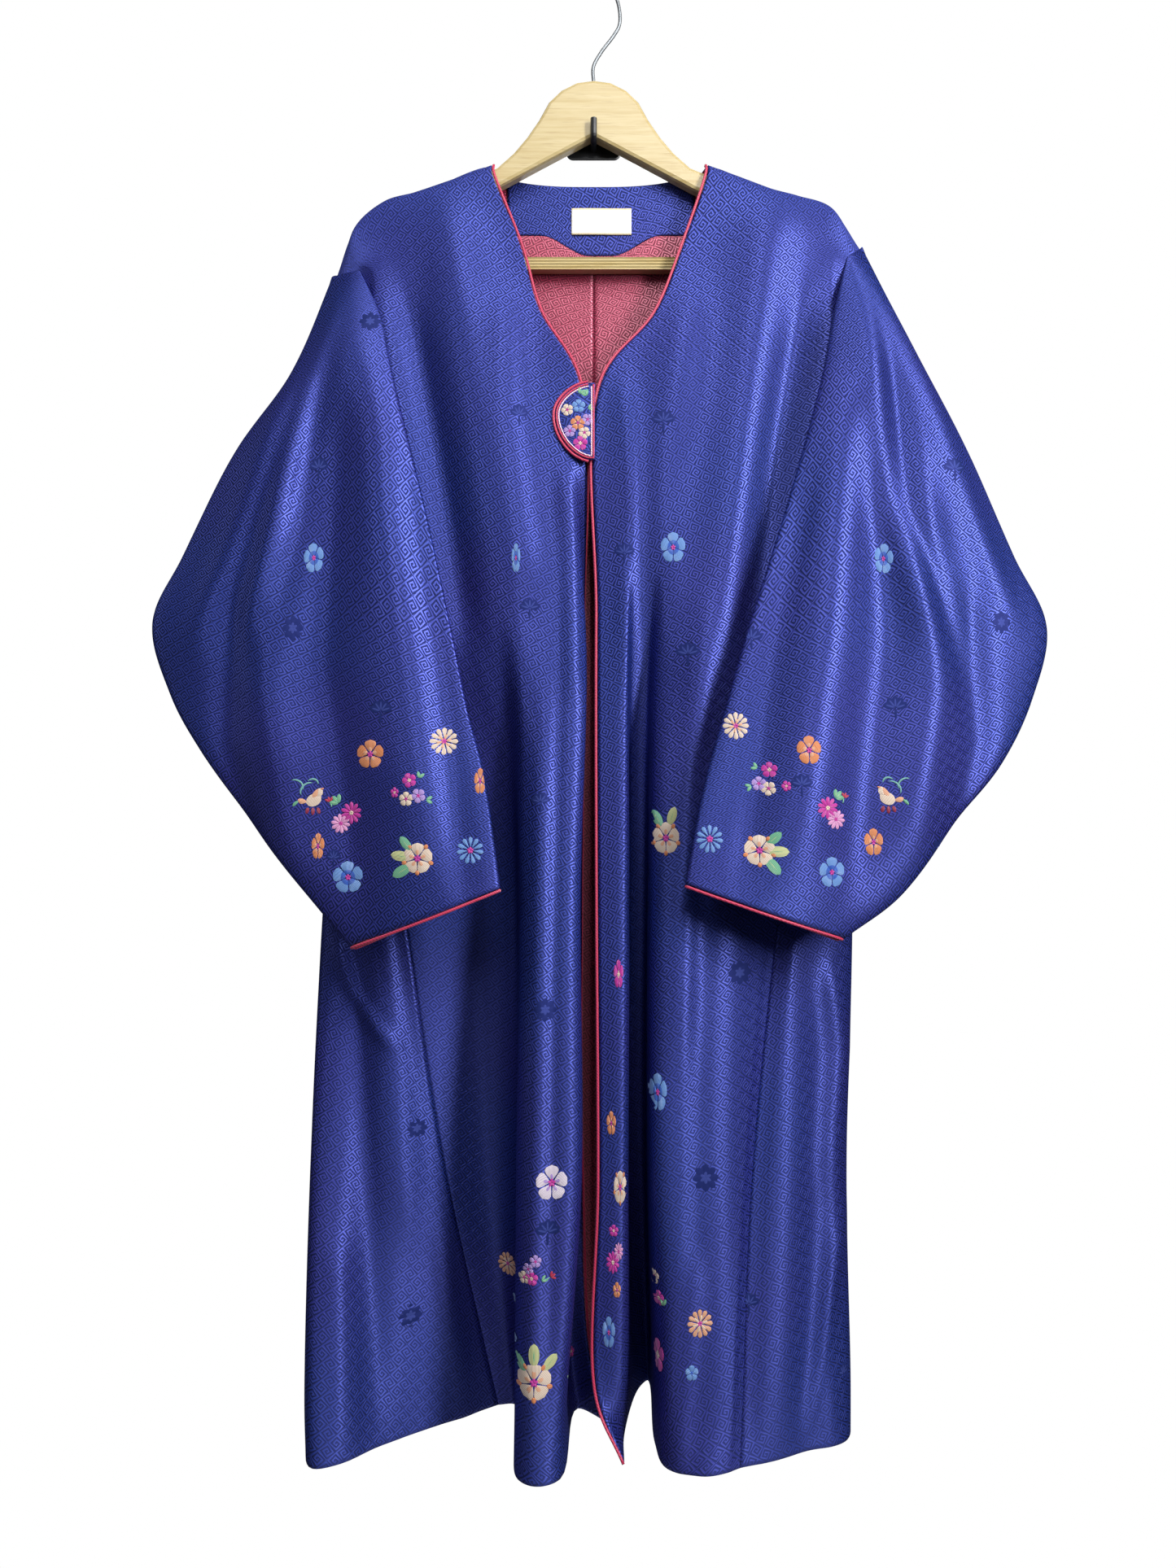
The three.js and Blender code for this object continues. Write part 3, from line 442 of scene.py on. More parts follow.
def jacquard_silk(name, ground, figure, patch, gloss, sheen_tint):
    """Silk jacquard: a fret woven in a satin ground, in darker lines. The satin gives a long soft
    shine along the folds, the fret breaks it up, and the colour drifts between two dyed tones."""
    material, tree = new_material(name)
    place = node(tree, "UVMap", {"uv_map": "cloth_mm"})
    lines = fret_lines(tree, place.outputs[0], FRET_UNIT, FRET_TURN)
    drift = node(tree, "TexNoise", {"noise_dimensions": "2D"}, Vector=place.outputs[0], Scale=0.006,
                 Detail=1.0)
    tone = node(tree, "MapRange", Value=drift.outputs["Fac"], From_Min=0.35, From_Max=0.65)
    dyed = mixed(tree, tone.outputs[0], linear(ground), linear(patch))
    woven = mixed(tree, lines, dyed, linear(figure))
    threads = node(tree, "TexNoise", {"noise_dimensions": "2D"}, Vector=place.outputs[0], Scale=1.1,
                   Detail=2.0)
    rough = node(tree, "MapRange", Value=lines, To_Min=gloss, To_Max=gloss + 0.3)
    height = arithmetic(tree, "MULTIPLY_ADD", threads.outputs["Fac"], 0.35, lines)
    bump = node(tree, "Bump", Height=height, Strength=0.5, Distance=0.0003)
    warp = node(tree, "Tangent", {"direction_type": "UV_MAP", "uv_map": "cloth_mm"})
    satin = surface(tree, Base_Color=woven, Roughness=rough.outputs[0], Normal=bump.outputs[0],
                    Tangent=warp.outputs[0])
    satin.inputs["Specular IOR Level"].default_value = 1.0
    satin.inputs["IOR"].default_value = 1.9
    satin.inputs["Specular Tint"].default_value = linear(sheen_tint)
    satin.inputs["Anisotropic"].default_value = 0.75
    satin.inputs["Anisotropic Rotation"].default_value = 0.25
    return material


navy_silk = jacquard_silk("navy_silk_jacquard", "22327c", "02050f", "2c2c7a", 0.45, "7e8cff")
red_silk = jacquard_silk("crimson_silk_lining", "a83452", "5e1228", "b03c5c", 0.42, "f4b0c0")

grids = {
    "front_left": front_grid(LEFT_FRONT, "left", LEFT_FRONT_FOLDS),
    "front_right": front_grid(RIGHT_FRONT, "right", RIGHT_FRONT_FOLDS),
}
for side in ("left", "right"):
    name = "front_" + side
    piece = cloth_piece(name + "_silk", grids[name], navy_silk, red_silk, TO_VIEWER)
    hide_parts(name)

# Side gussets
# A silk gore between each front and back, from the underarm to the hem, that lets the skirt flare.
# It is sewn into both side seams and hangs forward in one soft roll.
ARMHOLE_BACK = {
    "left": [(213, -11, -130), (208, -9, -190), (204, -9, -250)],
    "right": [(-206, -11, -140), (-203, -9, -195), (-201, -9, -250)],
}
LEFT_GUSSET = [
    ("front seam", (190, -44), (147, -70), (119, -103), (108, -136), (105, -146)),
    ("front", (197, -37), (182, -62), (160, -96), (150, -122), (150, -127)),
    ("side", (201, -28), (207, -45), (196, -72), (192, -100), (190, -108)),
    ("behind", (199, -19), (203, -26), (194, -38), (194, -48), (193, -52)),
    ("back seam", (193, -12), (178, -14), (168, -16), (162, -18), (160, -19)),
]
RIGHT_GUSSET = [
    ("front seam", (-190, -44), (-152, -63), (-118, -64), (-85, -57), (-76, -56)),
    ("front", (-197, -37), (-190, -57), (-168, -84), (-145, -98), (-138, -100)),
    ("side", (-202, -28), (-217, -42), (-215, -92), (-207, -136), (-203, -147)),
    ("behind", (-200, -19), (-210, -24), (-212, -44), (-212, -66), (-210, -74)),
    ("back seam", (-193, -12), (-180, -14), (-172, -16), (-165, -18), (-162, -19)),
]
BODY_MIDDLE = np.array([0.0, -40.0, 0.0])
GUSSET_ACROSS = [14, 14, 12, 10]
GUSSET_DOWN = [1, 50, 50, 38, 12]
# The shares of the width over which the soft folds fade at the front seam and the back seam
GUSSET_FADES = (0.1, 0.4)
LEFT_GUSSET_FOLDS = [
    ([-640, -860, -1045], [148, 136, 126], 24, 4.5),
    ([-660, -900, -1045], [172, 164, 160], 20, -4.0),
    ([-880, -950, -1030], [192, 174, 158], 7, 3.2),
    ([-690, -760, -860], [182, 192, 178], 12, 5.0),
    ([-840, -930, -1040], [186, 176, 172], 10, 3.5),
]
RIGHT_GUSSET_FOLDS = [
    ([-620, -760, -900], [-180, -162, -146], 17, 6.0),
    ([-676, -716, -756], [-206, -190, -160], 7, 3.6),
    ([-700, -900, -1045], [-190, -176, -166], 12, -4.5),
    ([-700, -900, -1045], [-140, -118, -104], 10, 4.5),
    ([-900, -980, -1045], [-196, -188, -182], 10, 3.5),
]


def gusset_grid(lines, side, folds):
    """A gusset: its seams follow the curves of the panels beside it, so a guide row stands above."""
    front, back = (np.array(table[side][2], float) for table in (ARMHOLE_FRONT, ARMHOLE_BACK))
    shares = np.linspace(0, 1, len(lines))[:, None]
    rows = [front + (back - front) * shares, *level_rows(lines)]
    grid = smooth_grid(rows, GUSSET_ACROSS, GUSSET_DOWN)[1:]
    share = np.linspace(0, 1, grid.shape[1])[None, :]
    fade = np.clip(share / GUSSET_FADES[0], 0, 1) * np.clip((1 - share) / GUSSET_FADES[1], 0, 1)
    grid[..., 1] -= fold_field(grid[..., 0], grid[..., 2], folds) * fade
    return over_seams(grid, FIRST_EDGE, LAST_EDGE)


GUSSET_CUT = {"left": (0.22, 0.085), "right": (0.26, 0.104)}
gusset_tables = {"left": (LEFT_GUSSET, LEFT_GUSSET_FOLDS), "right": (RIGHT_GUSSET, RIGHT_GUSSET_FOLDS)}
for side, (lines, folds) in gusset_tables.items():
    name = "side_gusset_" + side
    grids[name] = gusset_grid(lines, side, folds)
    away = (grids[name][:-1, :-1].reshape(-1, 3) - BODY_MIDDLE) * np.array([1, 1, 0])
    piece = cloth_piece(name + "_silk", grids[name], navy_silk, red_silk, away)
    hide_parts(name)
    width, area = GUSSET_CUT[side]

# Backs
# Two silk panels sewn together down the centre back and over the shoulders. They hang close to
# the wall, with the neck edge turned up behind the hanger's arms, and the armhole edge laid a little
# way out over the head of the sleeve.
BACK_Y = -5
BACK_LINES = [
    ("centre back", (0, -5), (0, -6), (0, -7), (0, -7), (0, -7)),
    ("inner fold", (36, -5), (38, -5), (42, -4), (44, -4), (44, -4)),
    ("neck turn", (72, -5), (72, -5), (72, -6), (72, -8), (72, -8)),
    ("neck point", (92, -5), (90, -6), (88, -8), (88, -10), (88, -10)),
    ("outer fold", (128, -5), (120, -7), (114, -6), (112, -6), (112, -6)),
    ("blade", (166, -7), (150, -9), (142, -9), (138, -10), (138, -10)),
    ("back seam", (193, -12), (178, -14), (168, -16), (162, -18), (160, -19)),
]
BACK_NECK = {
    "left": [(0, -53.5), (44, -51.5), (86, -46)],
    "right": [(0, -53.5), (-40, -51.5), (-79.5, -45.6)],
}
BACK_SHOULDER_SHARES = np.array([0, 0.34, 0.68, 1])
BACK_NECK_STEPS = (1.8, 6)
BACK_SHOULDER_STEPS = (1.9, 8)
BACK_CREST_Y = -8.2
BACK_CENTRE_Z = [-112, -170, -235]
BACK_ACROSS = [10, 10, 6, 10, 10, 8]
BACK_DOWN = [3, 3, 12, 12, 14, 46, 50, 48, 36, 10]
BACK_STILL_ROWS = 30
BACK_FADE_ROWS = 20
BACK_FADES = (0.06, 0.1)
# How far the armhole edge is laid out, how sharply, and the heights between which it is
ARMHOLE_LAP = 15
LAP_POWER = 10
LAP_TOP_Z = {1: -114, -1: -140}
LAP_FOOT_Z = -419
LAP_FADES = (24, 18)
BACK_FOLDS = [
    ([-200, -600, -1045], [40, 42, 44], 16, -1.6),
    ([-300, -700, -1045], [112, 104, 100], 18, -1.8),
    ([-500, -800, -1045], [78, 74, 72], 12, 1.2),
]


def back_grid(side, sign):
    """A back panel, its lines mirrored by the sign; folds only lean towards the wall a little."""
    neck = np.array(BACK_NECK[side], float)
    inner = np.stack([neck[:, 0], np.full(len(neck), BACK_Y), neck[:, 1]], axis=1)
    shoulder = along_shoulder(side, BACK_SHOULDER_SHARES)
    top = np.concatenate([inner, shoulder])
    crest, drop = top.copy(), top.copy()
    crest[: len(neck), 2] -= BACK_NECK_STEPS[0]
    crest[len(neck):, 1] = BACK_CREST_Y
    crest[len(neck):, 2] -= BACK_SHOULDER_STEPS[0]
    drop[:, 1] = BACK_Y
    drop[: len(neck), 2] -= BACK_NECK_STEPS[1]
    drop[len(neck):, 2] -= BACK_SHOULDER_STEPS[1]
    underarm = np.array([line[1][0] for line in BACK_LINES], float)
    shares = underarm / underarm[-1]
    upper = []
    for arm, centre_z in zip(ARMHOLE_BACK[side], BACK_CENTRE_Z):
        heights = centre_z + (arm[2] - centre_z) * shares ** 2
        row = np.stack([arm[0] * shares, np.full(len(shares), BACK_Y), heights], axis=1)
        row[-1, 1] = arm[1]
        upper.append(row)
    lower = level_rows(BACK_LINES)
    lower[..., 0] *= sign
    lower[:, -1] = level_rows([gusset_tables[side][0][-1]])[:, 0]
    grid = smooth_grid([top, crest, drop, *upper, *lower], BACK_ACROSS, BACK_DOWN)
    grid[0, sum(BACK_ACROSS[:2]) + 1:, 1] += CLOTH / 2
    share = np.linspace(0, 1, grid.shape[1])[None, :]
    rows = np.clip((np.arange(grid.shape[0])[:, None] - BACK_STILL_ROWS) / BACK_FADE_ROWS, 0, 1)
    fade = np.clip(share / BACK_FADES[0], 0, 1) * np.clip((1 - share) / BACK_FADES[1], 0, 1) * rows
    grid[..., 1] += fold_field(np.abs(grid[..., 0]), grid[..., 2], BACK_FOLDS) * fade
    return over_seams(grid, FIRST_EDGE, LAST_EDGE)


def over_armhole(grid, sign):
    """The back panel with its armhole edge laid out over the head of the sleeve: a high power of the
    share across keeps the rest of the panel where it is, and the shift fades out at both ends."""
    share = np.linspace(0, 1, grid.shape[1])[None, :]
    z = grid[..., 2]
    top, foot = (LAP_TOP_Z[sign] - z) / LAP_FADES[0], (z - LAP_FOOT_Z) / LAP_FADES[1]
    window = np.clip(top, 0, 1) * np.clip(foot, 0, 1)
    laid = grid.copy()
    laid[..., 0] += sign * ARMHOLE_LAP * share ** LAP_POWER * window
    return laid


for side, sign in (("left", 1), ("right", -1)):
    name = "back_" + side
    grids[name] = back_grid(side, sign)
    piece = cloth_piece(name + "_silk", over_armhole(grids[name], sign), navy_silk, red_silk, -TO_VIEWER)
    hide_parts(name)

# Sleeves
# Each is a wide tube of silk with a curved underarm, set in at the armhole and hanging forward and
# across the front, flattened on itself. Folds fan out from the shoulder towards the curved edge.
LEFT_SLEEVE = [
    ("armhole", (208.3, -28.4, -125.2), (222.3, -15, -112.2), (199, -34, -416), (2, 17, 20, -8, -4)),
    ("cap", (193, -50, -175), (263, -40, -211), (232, -50, -410), (10, 22, 12, 3, 3)),
    ("upper", (182, -60, -224), (300, -48, -288), (270, -54, -420), (14, 18, 8, 3, 3)),
    ("bicep", (151, -76, -334), (334, -55, -371), (318, -55, -428), (15, 7, 3, 4, 4)),
    ("corner", (117, -93, -438), (357, -62, -427), (353, -57, -441), (15, 3, 1, 5, 5)),
    ("elbow", (99, -103, -498), (343, -69, -485), (338, -64, -494), (15, 2, 1, 5, 5)),
    ("forearm", (87, -111, -537), (316, -81, -534), (311, -76, -541), (14, 2, 1, 5, 5)),
    ("wrist", (79, -118, -568), (277, -94, -579), (272, -89, -585), (12, 2, 1, 5, 5)),
    ("near cuff", (73, -124, -598), (230, -106, -636), (227, -101, -640), (12, 2, 1, 8, 8)),
    ("cuff", (68, -128, -625), (186, -118, -666), (184, -113, -667), (12, 2, 1, 9, 9)),
]
RIGHT_SLEEVE = [
    ("armhole", (-191.9, -28.6, -137), (-216.5, -15, -137), (-199.6, -34, -416), (3, 17, 20, -8, -4)),
    ("cap", (-172, -50, -176), (-247, -40, -227), (-228, -50, -410), (10, 22, 12, 3, 3)),
    ("upper", (-160, -60, -226), (-288, -48, -288), (-265, -54, -420), (14, 18, 8, 3, 3)),
    ("bicep", (-133, -76, -334), (-327, -55, -371), (-312, -55, -428), (15, 7, 3, 4, 4)),
    ("corner", (-109, -93, -438), (-348, -62, -423), (-345, -57, -441), (15, 3, 1, 5, 5)),
    ("elbow", (-96, -103, -498), (-332, -69, -480), (-327, -64, -490), (15, 2, 1, 5, 5)),
    ("forearm", (-85, -111, -537), (-305, -81, -524), (-299, -76, -532), (14, 2, 1, 5, 5)),
    ("wrist", (-79, -118, -568), (-261, -94, -581), (-256, -89, -587), (12, 2, 1, 5, 5)),
    ("near cuff", (-74, -124, -600), (-226, -106, -622), (-222, -101, -628), (12, 2, 1, 8, 8)),
    ("cuff", (-70, -128, -628), (-182, -118, -672), (-180, -113, -673), (12, 2, 1, 9, 9)),
]
SLEEVE_HEAD_TUCK = np.array([0, 1.5, 5])
SLEEVE_STILL_ROWS = 2
SLEEVE_FADE_ROWS = 22
# The depth that the head of the sleeve stays in front of, at two heights
SLEEVE_HEAD_LEVELS = [-230, -170]
SLEEVE_HEAD_REARMOST = [0, -15.5]
SLEEVE_ACROSS = [14, 18, 18, 14, 10, 8, 4, 8, 10, 8, 6]
SLEEVE_DOWN = [16, 14, 28, 26, 16, 12, 10, 12, 12]
LEFT_SLEEVE_FOLDS = [
    ([-140, -330, -430], [214, 224, 250], 13, 5.0),
    ([-150, -340, -470], [222, 246, 280], 10, -3.5),
    ([-150, -300, -420], [232, 282, 322], 14, 4.0),
    ([-190, -420, -620], [200, 172, 142], 30, 7.5),
    ([-240, -440, -640], [216, 216, 186], 24, -6.0),
    ([-300, -480, -600], [248, 256, 236], 20, 5.0),
    ([-300, -460, -640], [166, 134, 104], 14, -4.0),
    ([-400, -520, -600], [288, 292, 268], 14, -4.0),
]
RIGHT_SLEEVE_FOLDS = [
    ([-150, -290, -430], [-206, -238, -268], 10, 5.0),
    ([-160, -340, -450], [-214, -232, -250], 13, -3.6),
    ([-170, -330, -440], [-226, -276, -312], 14, 4.0),
    ([-190, -420, -620], [-186, -156, -126], 30, 7.5),
    ([-240, -460, -650], [-206, -214, -178], 24, -6.5),
    ([-300, -480, -620], [-240, -256, -232], 20, 5.0),
    ([-300, -460, -640], [-150, -122, -98], 14, -4.0),
    ([-400, -520, -600], [-284, -286, -262], 14, -4.0),
]


def sleeve_rings(rows):
    """Rings of guide points: the top fold, the front layer, the outer fold, the return behind it,
    the underarm seam and the hidden layer back to the top fold."""
    fold, outer, under = (np.array([row[k] for row in rows], float) for k in (1, 2, 3))
    if rows[0][0] == "armhole":
        fold[0] += SLEEVE_HEAD_TUCK
        outer[0] += SLEEVE_HEAD_TUCK
    front, behind, low, near, far = np.array([row[4] for row in rows], float).T

    def between(a, b, share, bow):
        point = a + (b - a) * share
        point[:, 1] += bow
        return point

    ring = [
        fold,
        between(fold, outer, 0.25, -front * 0.8),
        between(fold, outer, 0.5, -front),
        between(fold, outer, 0.75, -front * 0.8),
        outer,
        between(outer, under, 0.5, behind),
        between(outer, under, 0.93, low),
        under,
        between(under, fold, 0.3, near),
        between(under, fold, 0.65, far),
        between(under, fold, 0.88, far * 0.6),
    ]
    return np.stack(ring, axis=1)


def sleeve_grid(rows, folds):
    """A sleeve: both layers take the same folds, which fade out at the armhole, and its head stays
    in front of the back panel."""
    grid = smooth_grid(sleeve_rings(rows), SLEEVE_ACROSS, SLEEVE_DOWN, closed=True)
    fade = np.clip((np.arange(grid.shape[0])[:, None] - SLEEVE_STILL_ROWS) / SLEEVE_FADE_ROWS, 0, 1)
    grid[..., 1] -= fold_field(grid[..., 0], grid[..., 2], folds) * fade
    rearmost = np.interp(grid[..., 2], SLEEVE_HEAD_LEVELS, SLEEVE_HEAD_REARMOST)
    grid[..., 1] = np.minimum(grid[..., 1], rearmost)
    return grid


def from_sleeve(rows):
    """The way out of a tube at each face: away from the middle of its ring."""
    middles = rows.mean(axis=1, keepdims=True)
    return (rows - middles)[:-1].reshape(-1, 3)


sleeve_tables = {"left": (LEFT_SLEEVE, LEFT_SLEEVE_FOLDS), "right": (RIGHT_SLEEVE, RIGHT_SLEEVE_FOLDS)}
for side, (rows, folds) in sleeve_tables.items():
    name = "sleeve_" + side
    grids[name] = sleeve_grid(rows, folds)
    away = from_sleeve(grids[name])
    piece = cloth_piece(name + "_silk", grids[name], navy_silk, red_silk, away, closed=True)
    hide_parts(name)

# Piping
# A thin cord wrapped in bias cut crimson silk, sewn along the neck, both front edges and the cuffs.
# The bias wrapping shows as fine slanting threads.
PIPING_RADIUS = 1.1
PIPING_REACH = 1.7
PIPING_SIDES = 10
CUFF_PIPING_GAP = 0.3


def tube(points, radius, sides, hint):
    """A round cord along a line: rings square to the line, turned to lie by the hint direction."""
    tangent = np.gradient(points, axis=0)
    tangent /= np.linalg.norm(tangent, axis=1, keepdims=True)
    side = np.cross(hint, tangent)
    side /= np.linalg.norm(side, axis=1, keepdims=True)
    other = np.cross(tangent, side)
    angle = np.linspace(0, 2 * np.pi, sides, endpoint=False)[None, :, None]
    return points[:, None] + radius * (side[:, None] * np.cos(angle) + other[:, None] * np.sin(angle))


def tube_piece(name, rings, material):
    """A closed mesh over the rings of a cord, with flat ends."""
    count, sides = rings.shape[:2]
    index = np.arange(count * sides).reshape(count, sides)
    ring = np.concatenate([index, index[:, :1]], axis=1)
    faces = np.stack([ring[:-1, :-1], ring[1:, :-1], ring[1:, 1:], ring[:-1, 1:]], axis=-1).reshape(-1, 4)
    ends = [index[0].tolist(), index[-1][::-1].tolist()]
    centre = rings.mean(axis=1)
    a, b, d = (rings.reshape(-1, 3)[faces[:, k]] for k in (0, 1, 3))
    away = np.repeat(centre[:-1], sides, axis=0)
    if np.sum(np.cross(b - a, d - a) * (a - away)) < 0:
        faces = faces[:, ::-1]
        ends = [end[::-1] for end in ends]
    mesh = bpy.data.meshes.new(name)
    mesh.from_pydata((rings.reshape(-1, 3) * MM).tolist(), [], faces.tolist() + ends)
    mesh.polygons.foreach_set("use_smooth", np.arange(len(mesh.polygons)) < len(faces))
    mesh.materials.append(material)
    piece = new_object(name, mesh)
    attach(piece, "root")
    return piece


# Silk cut on the bias and wrapped tight: fine slanting threads in two crimsons, with a soft shine.
bias_silk, tree = new_material("crimson_bias_silk")
place = node(tree, "TexCoord")
slant = node(tree, "TexWave", {"bands_direction": "DIAGONAL"}, Vector=place.outputs["Object"],
             Scale=260.0, Distortion=1.0)
shade = mixed(tree, slant.outputs["Fac"], linear("a81f42"), linear("cf3a60"))
bump = node(tree, "Bump", Height=slant.outputs["Fac"], Strength=0.3, Distance=0.0002)
satin = surface(tree, Base_Color=shade, Roughness=0.42, Normal=bump.outputs[0])
satin.inputs["Sheen Weight"].default_value = 0.2


def piped_line(edge, beside, distance):
    """Points just outside an edge, in line with the cloth."""
    outwards = edge - beside
    return edge + outwards / np.linalg.norm(outwards, axis=1, keepdims=True) * distance


hint = np.array([0.0, 1.0, 0.0])
cuff_hint = np.array([0.3, 0.0, 1.0])
for side in ("left", "right"):
    name = "piping_front_" + side
    grid = grids["front_" + side]
    line = piped_line(grid[:, 0], grid[:, 1], PIPING_REACH)
    piece = tube_piece(name + "_silk", tube(line, PIPING_RADIUS, PIPING_SIDES, hint), bias_silk)
    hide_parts(name)
    name = "piping_cuff_" + side
    ring = grids["sleeve_" + side]
    loop = piped_line(ring[-1], ring[-2], PIPING_REACH + CUFF_PIPING_GAP)
    loop = np.concatenate([loop[1:], loop[:1]])
    piece = tube_piece(name + "_silk", tube(loop, PIPING_RADIUS, PIPING_SIDES, cuff_hint), bias_silk)
    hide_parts(name)

# Back neck facing, label and linings
# The facing is navy silk inside the back neck, with a woven label sewn on. Below it hangs the
# crimson lining of the back, and each cuff has its own lining inside.
THIN_CLOTH = 1.0
LAYER_GAP = 0.35
LINING_REACH = CLOTH / 2 + LAYER_GAP + THIN_CLOTH / 2
FACING_LEFT = -72
FACING_RIGHT = 84
FACING_CENTRE = 6
FACING_FLAT = 10
FACING_STEP = 42
FACING_LOWEST = -110
FACING_RISE = 17
FACING_TOP = -52.7
FACING_CURVE = (14, 94)
FACING_ROWS = 26
FACING_COLUMNS = 70


def facing_lower(x):
    """The lower edge of the facing: deepest at the centre, rising in a smooth step to each side."""
    share = np.clip((np.abs(x - FACING_CENTRE) - FACING_FLAT) / FACING_STEP, 0, 1)
    return FACING_LOWEST + FACING_RISE * eased(share)


x = np.linspace(FACING_LEFT, FACING_RIGHT, FACING_COLUMNS)
upper_edge = FACING_TOP + FACING_CURVE[0] * np.abs(x / FACING_CURVE[1]) ** 3
share = np.linspace(0, 1, FACING_ROWS)[:, None]
facing = np.stack([
    np.broadcast_to(x, (FACING_ROWS, FACING_COLUMNS)),
    np.full((FACING_ROWS, FACING_COLUMNS), BACK_Y - LINING_REACH),
    upper_edge + (facing_lower(x) - upper_edge) * share,
], axis=-1)
piece = cloth_piece("back_neck_facing_silk", facing, navy_silk, navy_silk, TO_VIEWER, THIN_CLOTH)
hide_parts("back_neck_facing")

LABEL_PLACE = (6.5, -82)
LABEL_SIZE = (50, 22)
LABEL_THICKNESS = 0.7
LABEL_RIPPLE = 0.25
label_x = np.linspace(-0.5, 0.5, 40) * LABEL_SIZE[0] + LABEL_PLACE[0]
label_z = np.linspace(0.5, -0.5, 18)[:, None] * LABEL_SIZE[1] + LABEL_PLACE[1]
label_y = BACK_Y - LINING_REACH - THIN_CLOTH - LAYER_GAP
ripple = LABEL_RIPPLE * np.sin((label_x - label_x[0]) / 9.0)
label_grid = np.stack(np.broadcast_arrays(label_x, label_y - ripple, label_z), axis=-1)
# White woven tape: crossing warp and weft that give a matt, faintly ribbed face, and a cream edge.
label_tape, tree = new_material("woven_polyester_label")
place = node(tree, "UVMap", {"uv_map": "cloth_mm"})
parts = node(tree, "SeparateXYZ", Vector=place.outputs[0])
warp = node(tree, "TexWave", {"bands_direction": "X"}, Vector=place.outputs[0], Scale=0.9, Distortion=0.3)
weft = node(tree, "TexWave", {"bands_direction": "Y"}, Vector=place.outputs[0], Scale=1.4, Distortion=0.3)
cross = arithmetic(tree, "MULTIPLY", warp.outputs["Fac"], weft.outputs["Fac"])
band = arithmetic(tree, "PINGPONG", parts.outputs[1], LABEL_SIZE[1] / 2)
border = node(tree, "MapRange", Value=band, From_Min=1.2, From_Max=1.6)
shade = mixed(tree, cross, linear("e6e2da"), linear("faf8f4"))
edged = mixed(tree, border.outputs[0], linear("d9c9a8"), shade)
bump = node(tree, "Bump", Height=cross, Strength=0.3, Distance=0.0002)
surface(tree, Base_Color=edged, Roughness=0.7, Normal=bump.outputs[0])
piece = cloth_piece("neck_label_tape", label_grid, label_tape, label_tape, TO_VIEWER, LABEL_THICKNESS)
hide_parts("neck_label")

LINING_TOP_DROP = 0.3
LINING_TOP_STEPS = 24
LINING_DRAW_IN = 0.06
DRAW_IN_FROM = -200
DRAW_IN_FADE = 60


def lining_grid(grid, sign):
    """The back lining: the back panel moved in, from under the facing to just above the hem, and
    drawn in at the shoulders, where the back panel curves forward."""
    first = sum(BACK_DOWN[:4])
    rows = grid[first:-4].copy()
    top = grid[first - 1].copy()
    top[:, 1] = BACK_Y
    top[:, 2] = facing_lower(top[:, 0]) - LAYER_GAP - LINING_TOP_DROP
    shares = np.linspace(0, 1, LINING_TOP_STEPS)[:-1, None, None]
    filled = top + (rows[0] - top) * shares
    lining = np.concatenate([filled, rows])
    lining[..., 0] *= 1 - LINING_DRAW_IN * np.clip((lining[..., 2] - DRAW_IN_FROM) / DRAW_IN_FADE, 0, 1)
    return lining - sign * LINING_REACH * grid_normals(lining)


for side, sign in (("left", 1), ("right", -1)):
    name = "back_lining_" + side
    piece = cloth_piece(name + "_silk", lining_grid(grids["back_" + side], sign), red_silk, red_silk,
                        TO_VIEWER, THIN_CLOTH)
    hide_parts(name)

CUFF_DRAW_IN = 10
CUFF_LESS_BOW = (4, 3)
CUFF_LINING_STEPS = (8, 10)


def cuff_lining_rows(rows):
    """The last three rings of a sleeve, drawn in at both folds, with flatter layers."""
    drawn = []
    for row in rows[-3:]:
        fold, outer, under = (np.array(row[k], float) for k in (1, 2, 3))
        end = (outer + under) / 2
        inwards = (end - fold) / np.linalg.norm(end - fold) * CUFF_DRAW_IN
        end = end - inwards
        front, _, _, near, far = row[4]
        thin = np.array([0, THIN_CLOTH, 0])
        bows = (front - CUFF_LESS_BOW[0], 0, 0, near - CUFF_LESS_BOW[1], far - CUFF_LESS_BOW[1])
        drawn.append((row[0], fold + inwards, end - thin, end + thin, bows))
    return drawn


for side, (rows, folds) in sleeve_tables.items():
    name = "cuff_lining_" + side
    grid = smooth_grid(sleeve_rings(cuff_lining_rows(rows)), *CUFF_LINING_STEPS, closed=True)
    grid[..., 1] -= fold_field(grid[..., 0], grid[..., 2], folds)
    away = from_sleeve(grid)
    piece = cloth_piece(name + "_silk", grid, red_silk, red_silk, away, THIN_CLOTH, closed=True)
    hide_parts(name)

# Closure tab
# A half moon of navy silk stiffened inside, sewn to the top of the wearer's right front. Its curve is
# bound with crimson piping; a thinner row of piping and a twisted pink and white cord run all round
# just inside the edge, held down by small stitches.
TAB_STRAIGHT_X = 1
TAB_TOP_Z = -230
TAB_BOTTOM_Z = -293
TAB_WIDTH = 32
TAB_BULGE_SHARE = 0.42
TAB_TOP_Y = -48.8
TAB_BOTTOM_Y = -53.3
TAB_ROWS = 60
TAB_COLUMNS = 24
TAB_CROWN = 1.0
TAB_EDGE_ROOM = 1.5
TAB_PIPING_GAP = 0.2
# Each row inside the edge: how far inside, how far above the cloth, its radius
TAB_INNER_PIPING = (1.2, 0.4, 0.75)
TAB_CORD = (2.9, 0.5, 0.55)
TAB_ROW_SIDES = 8


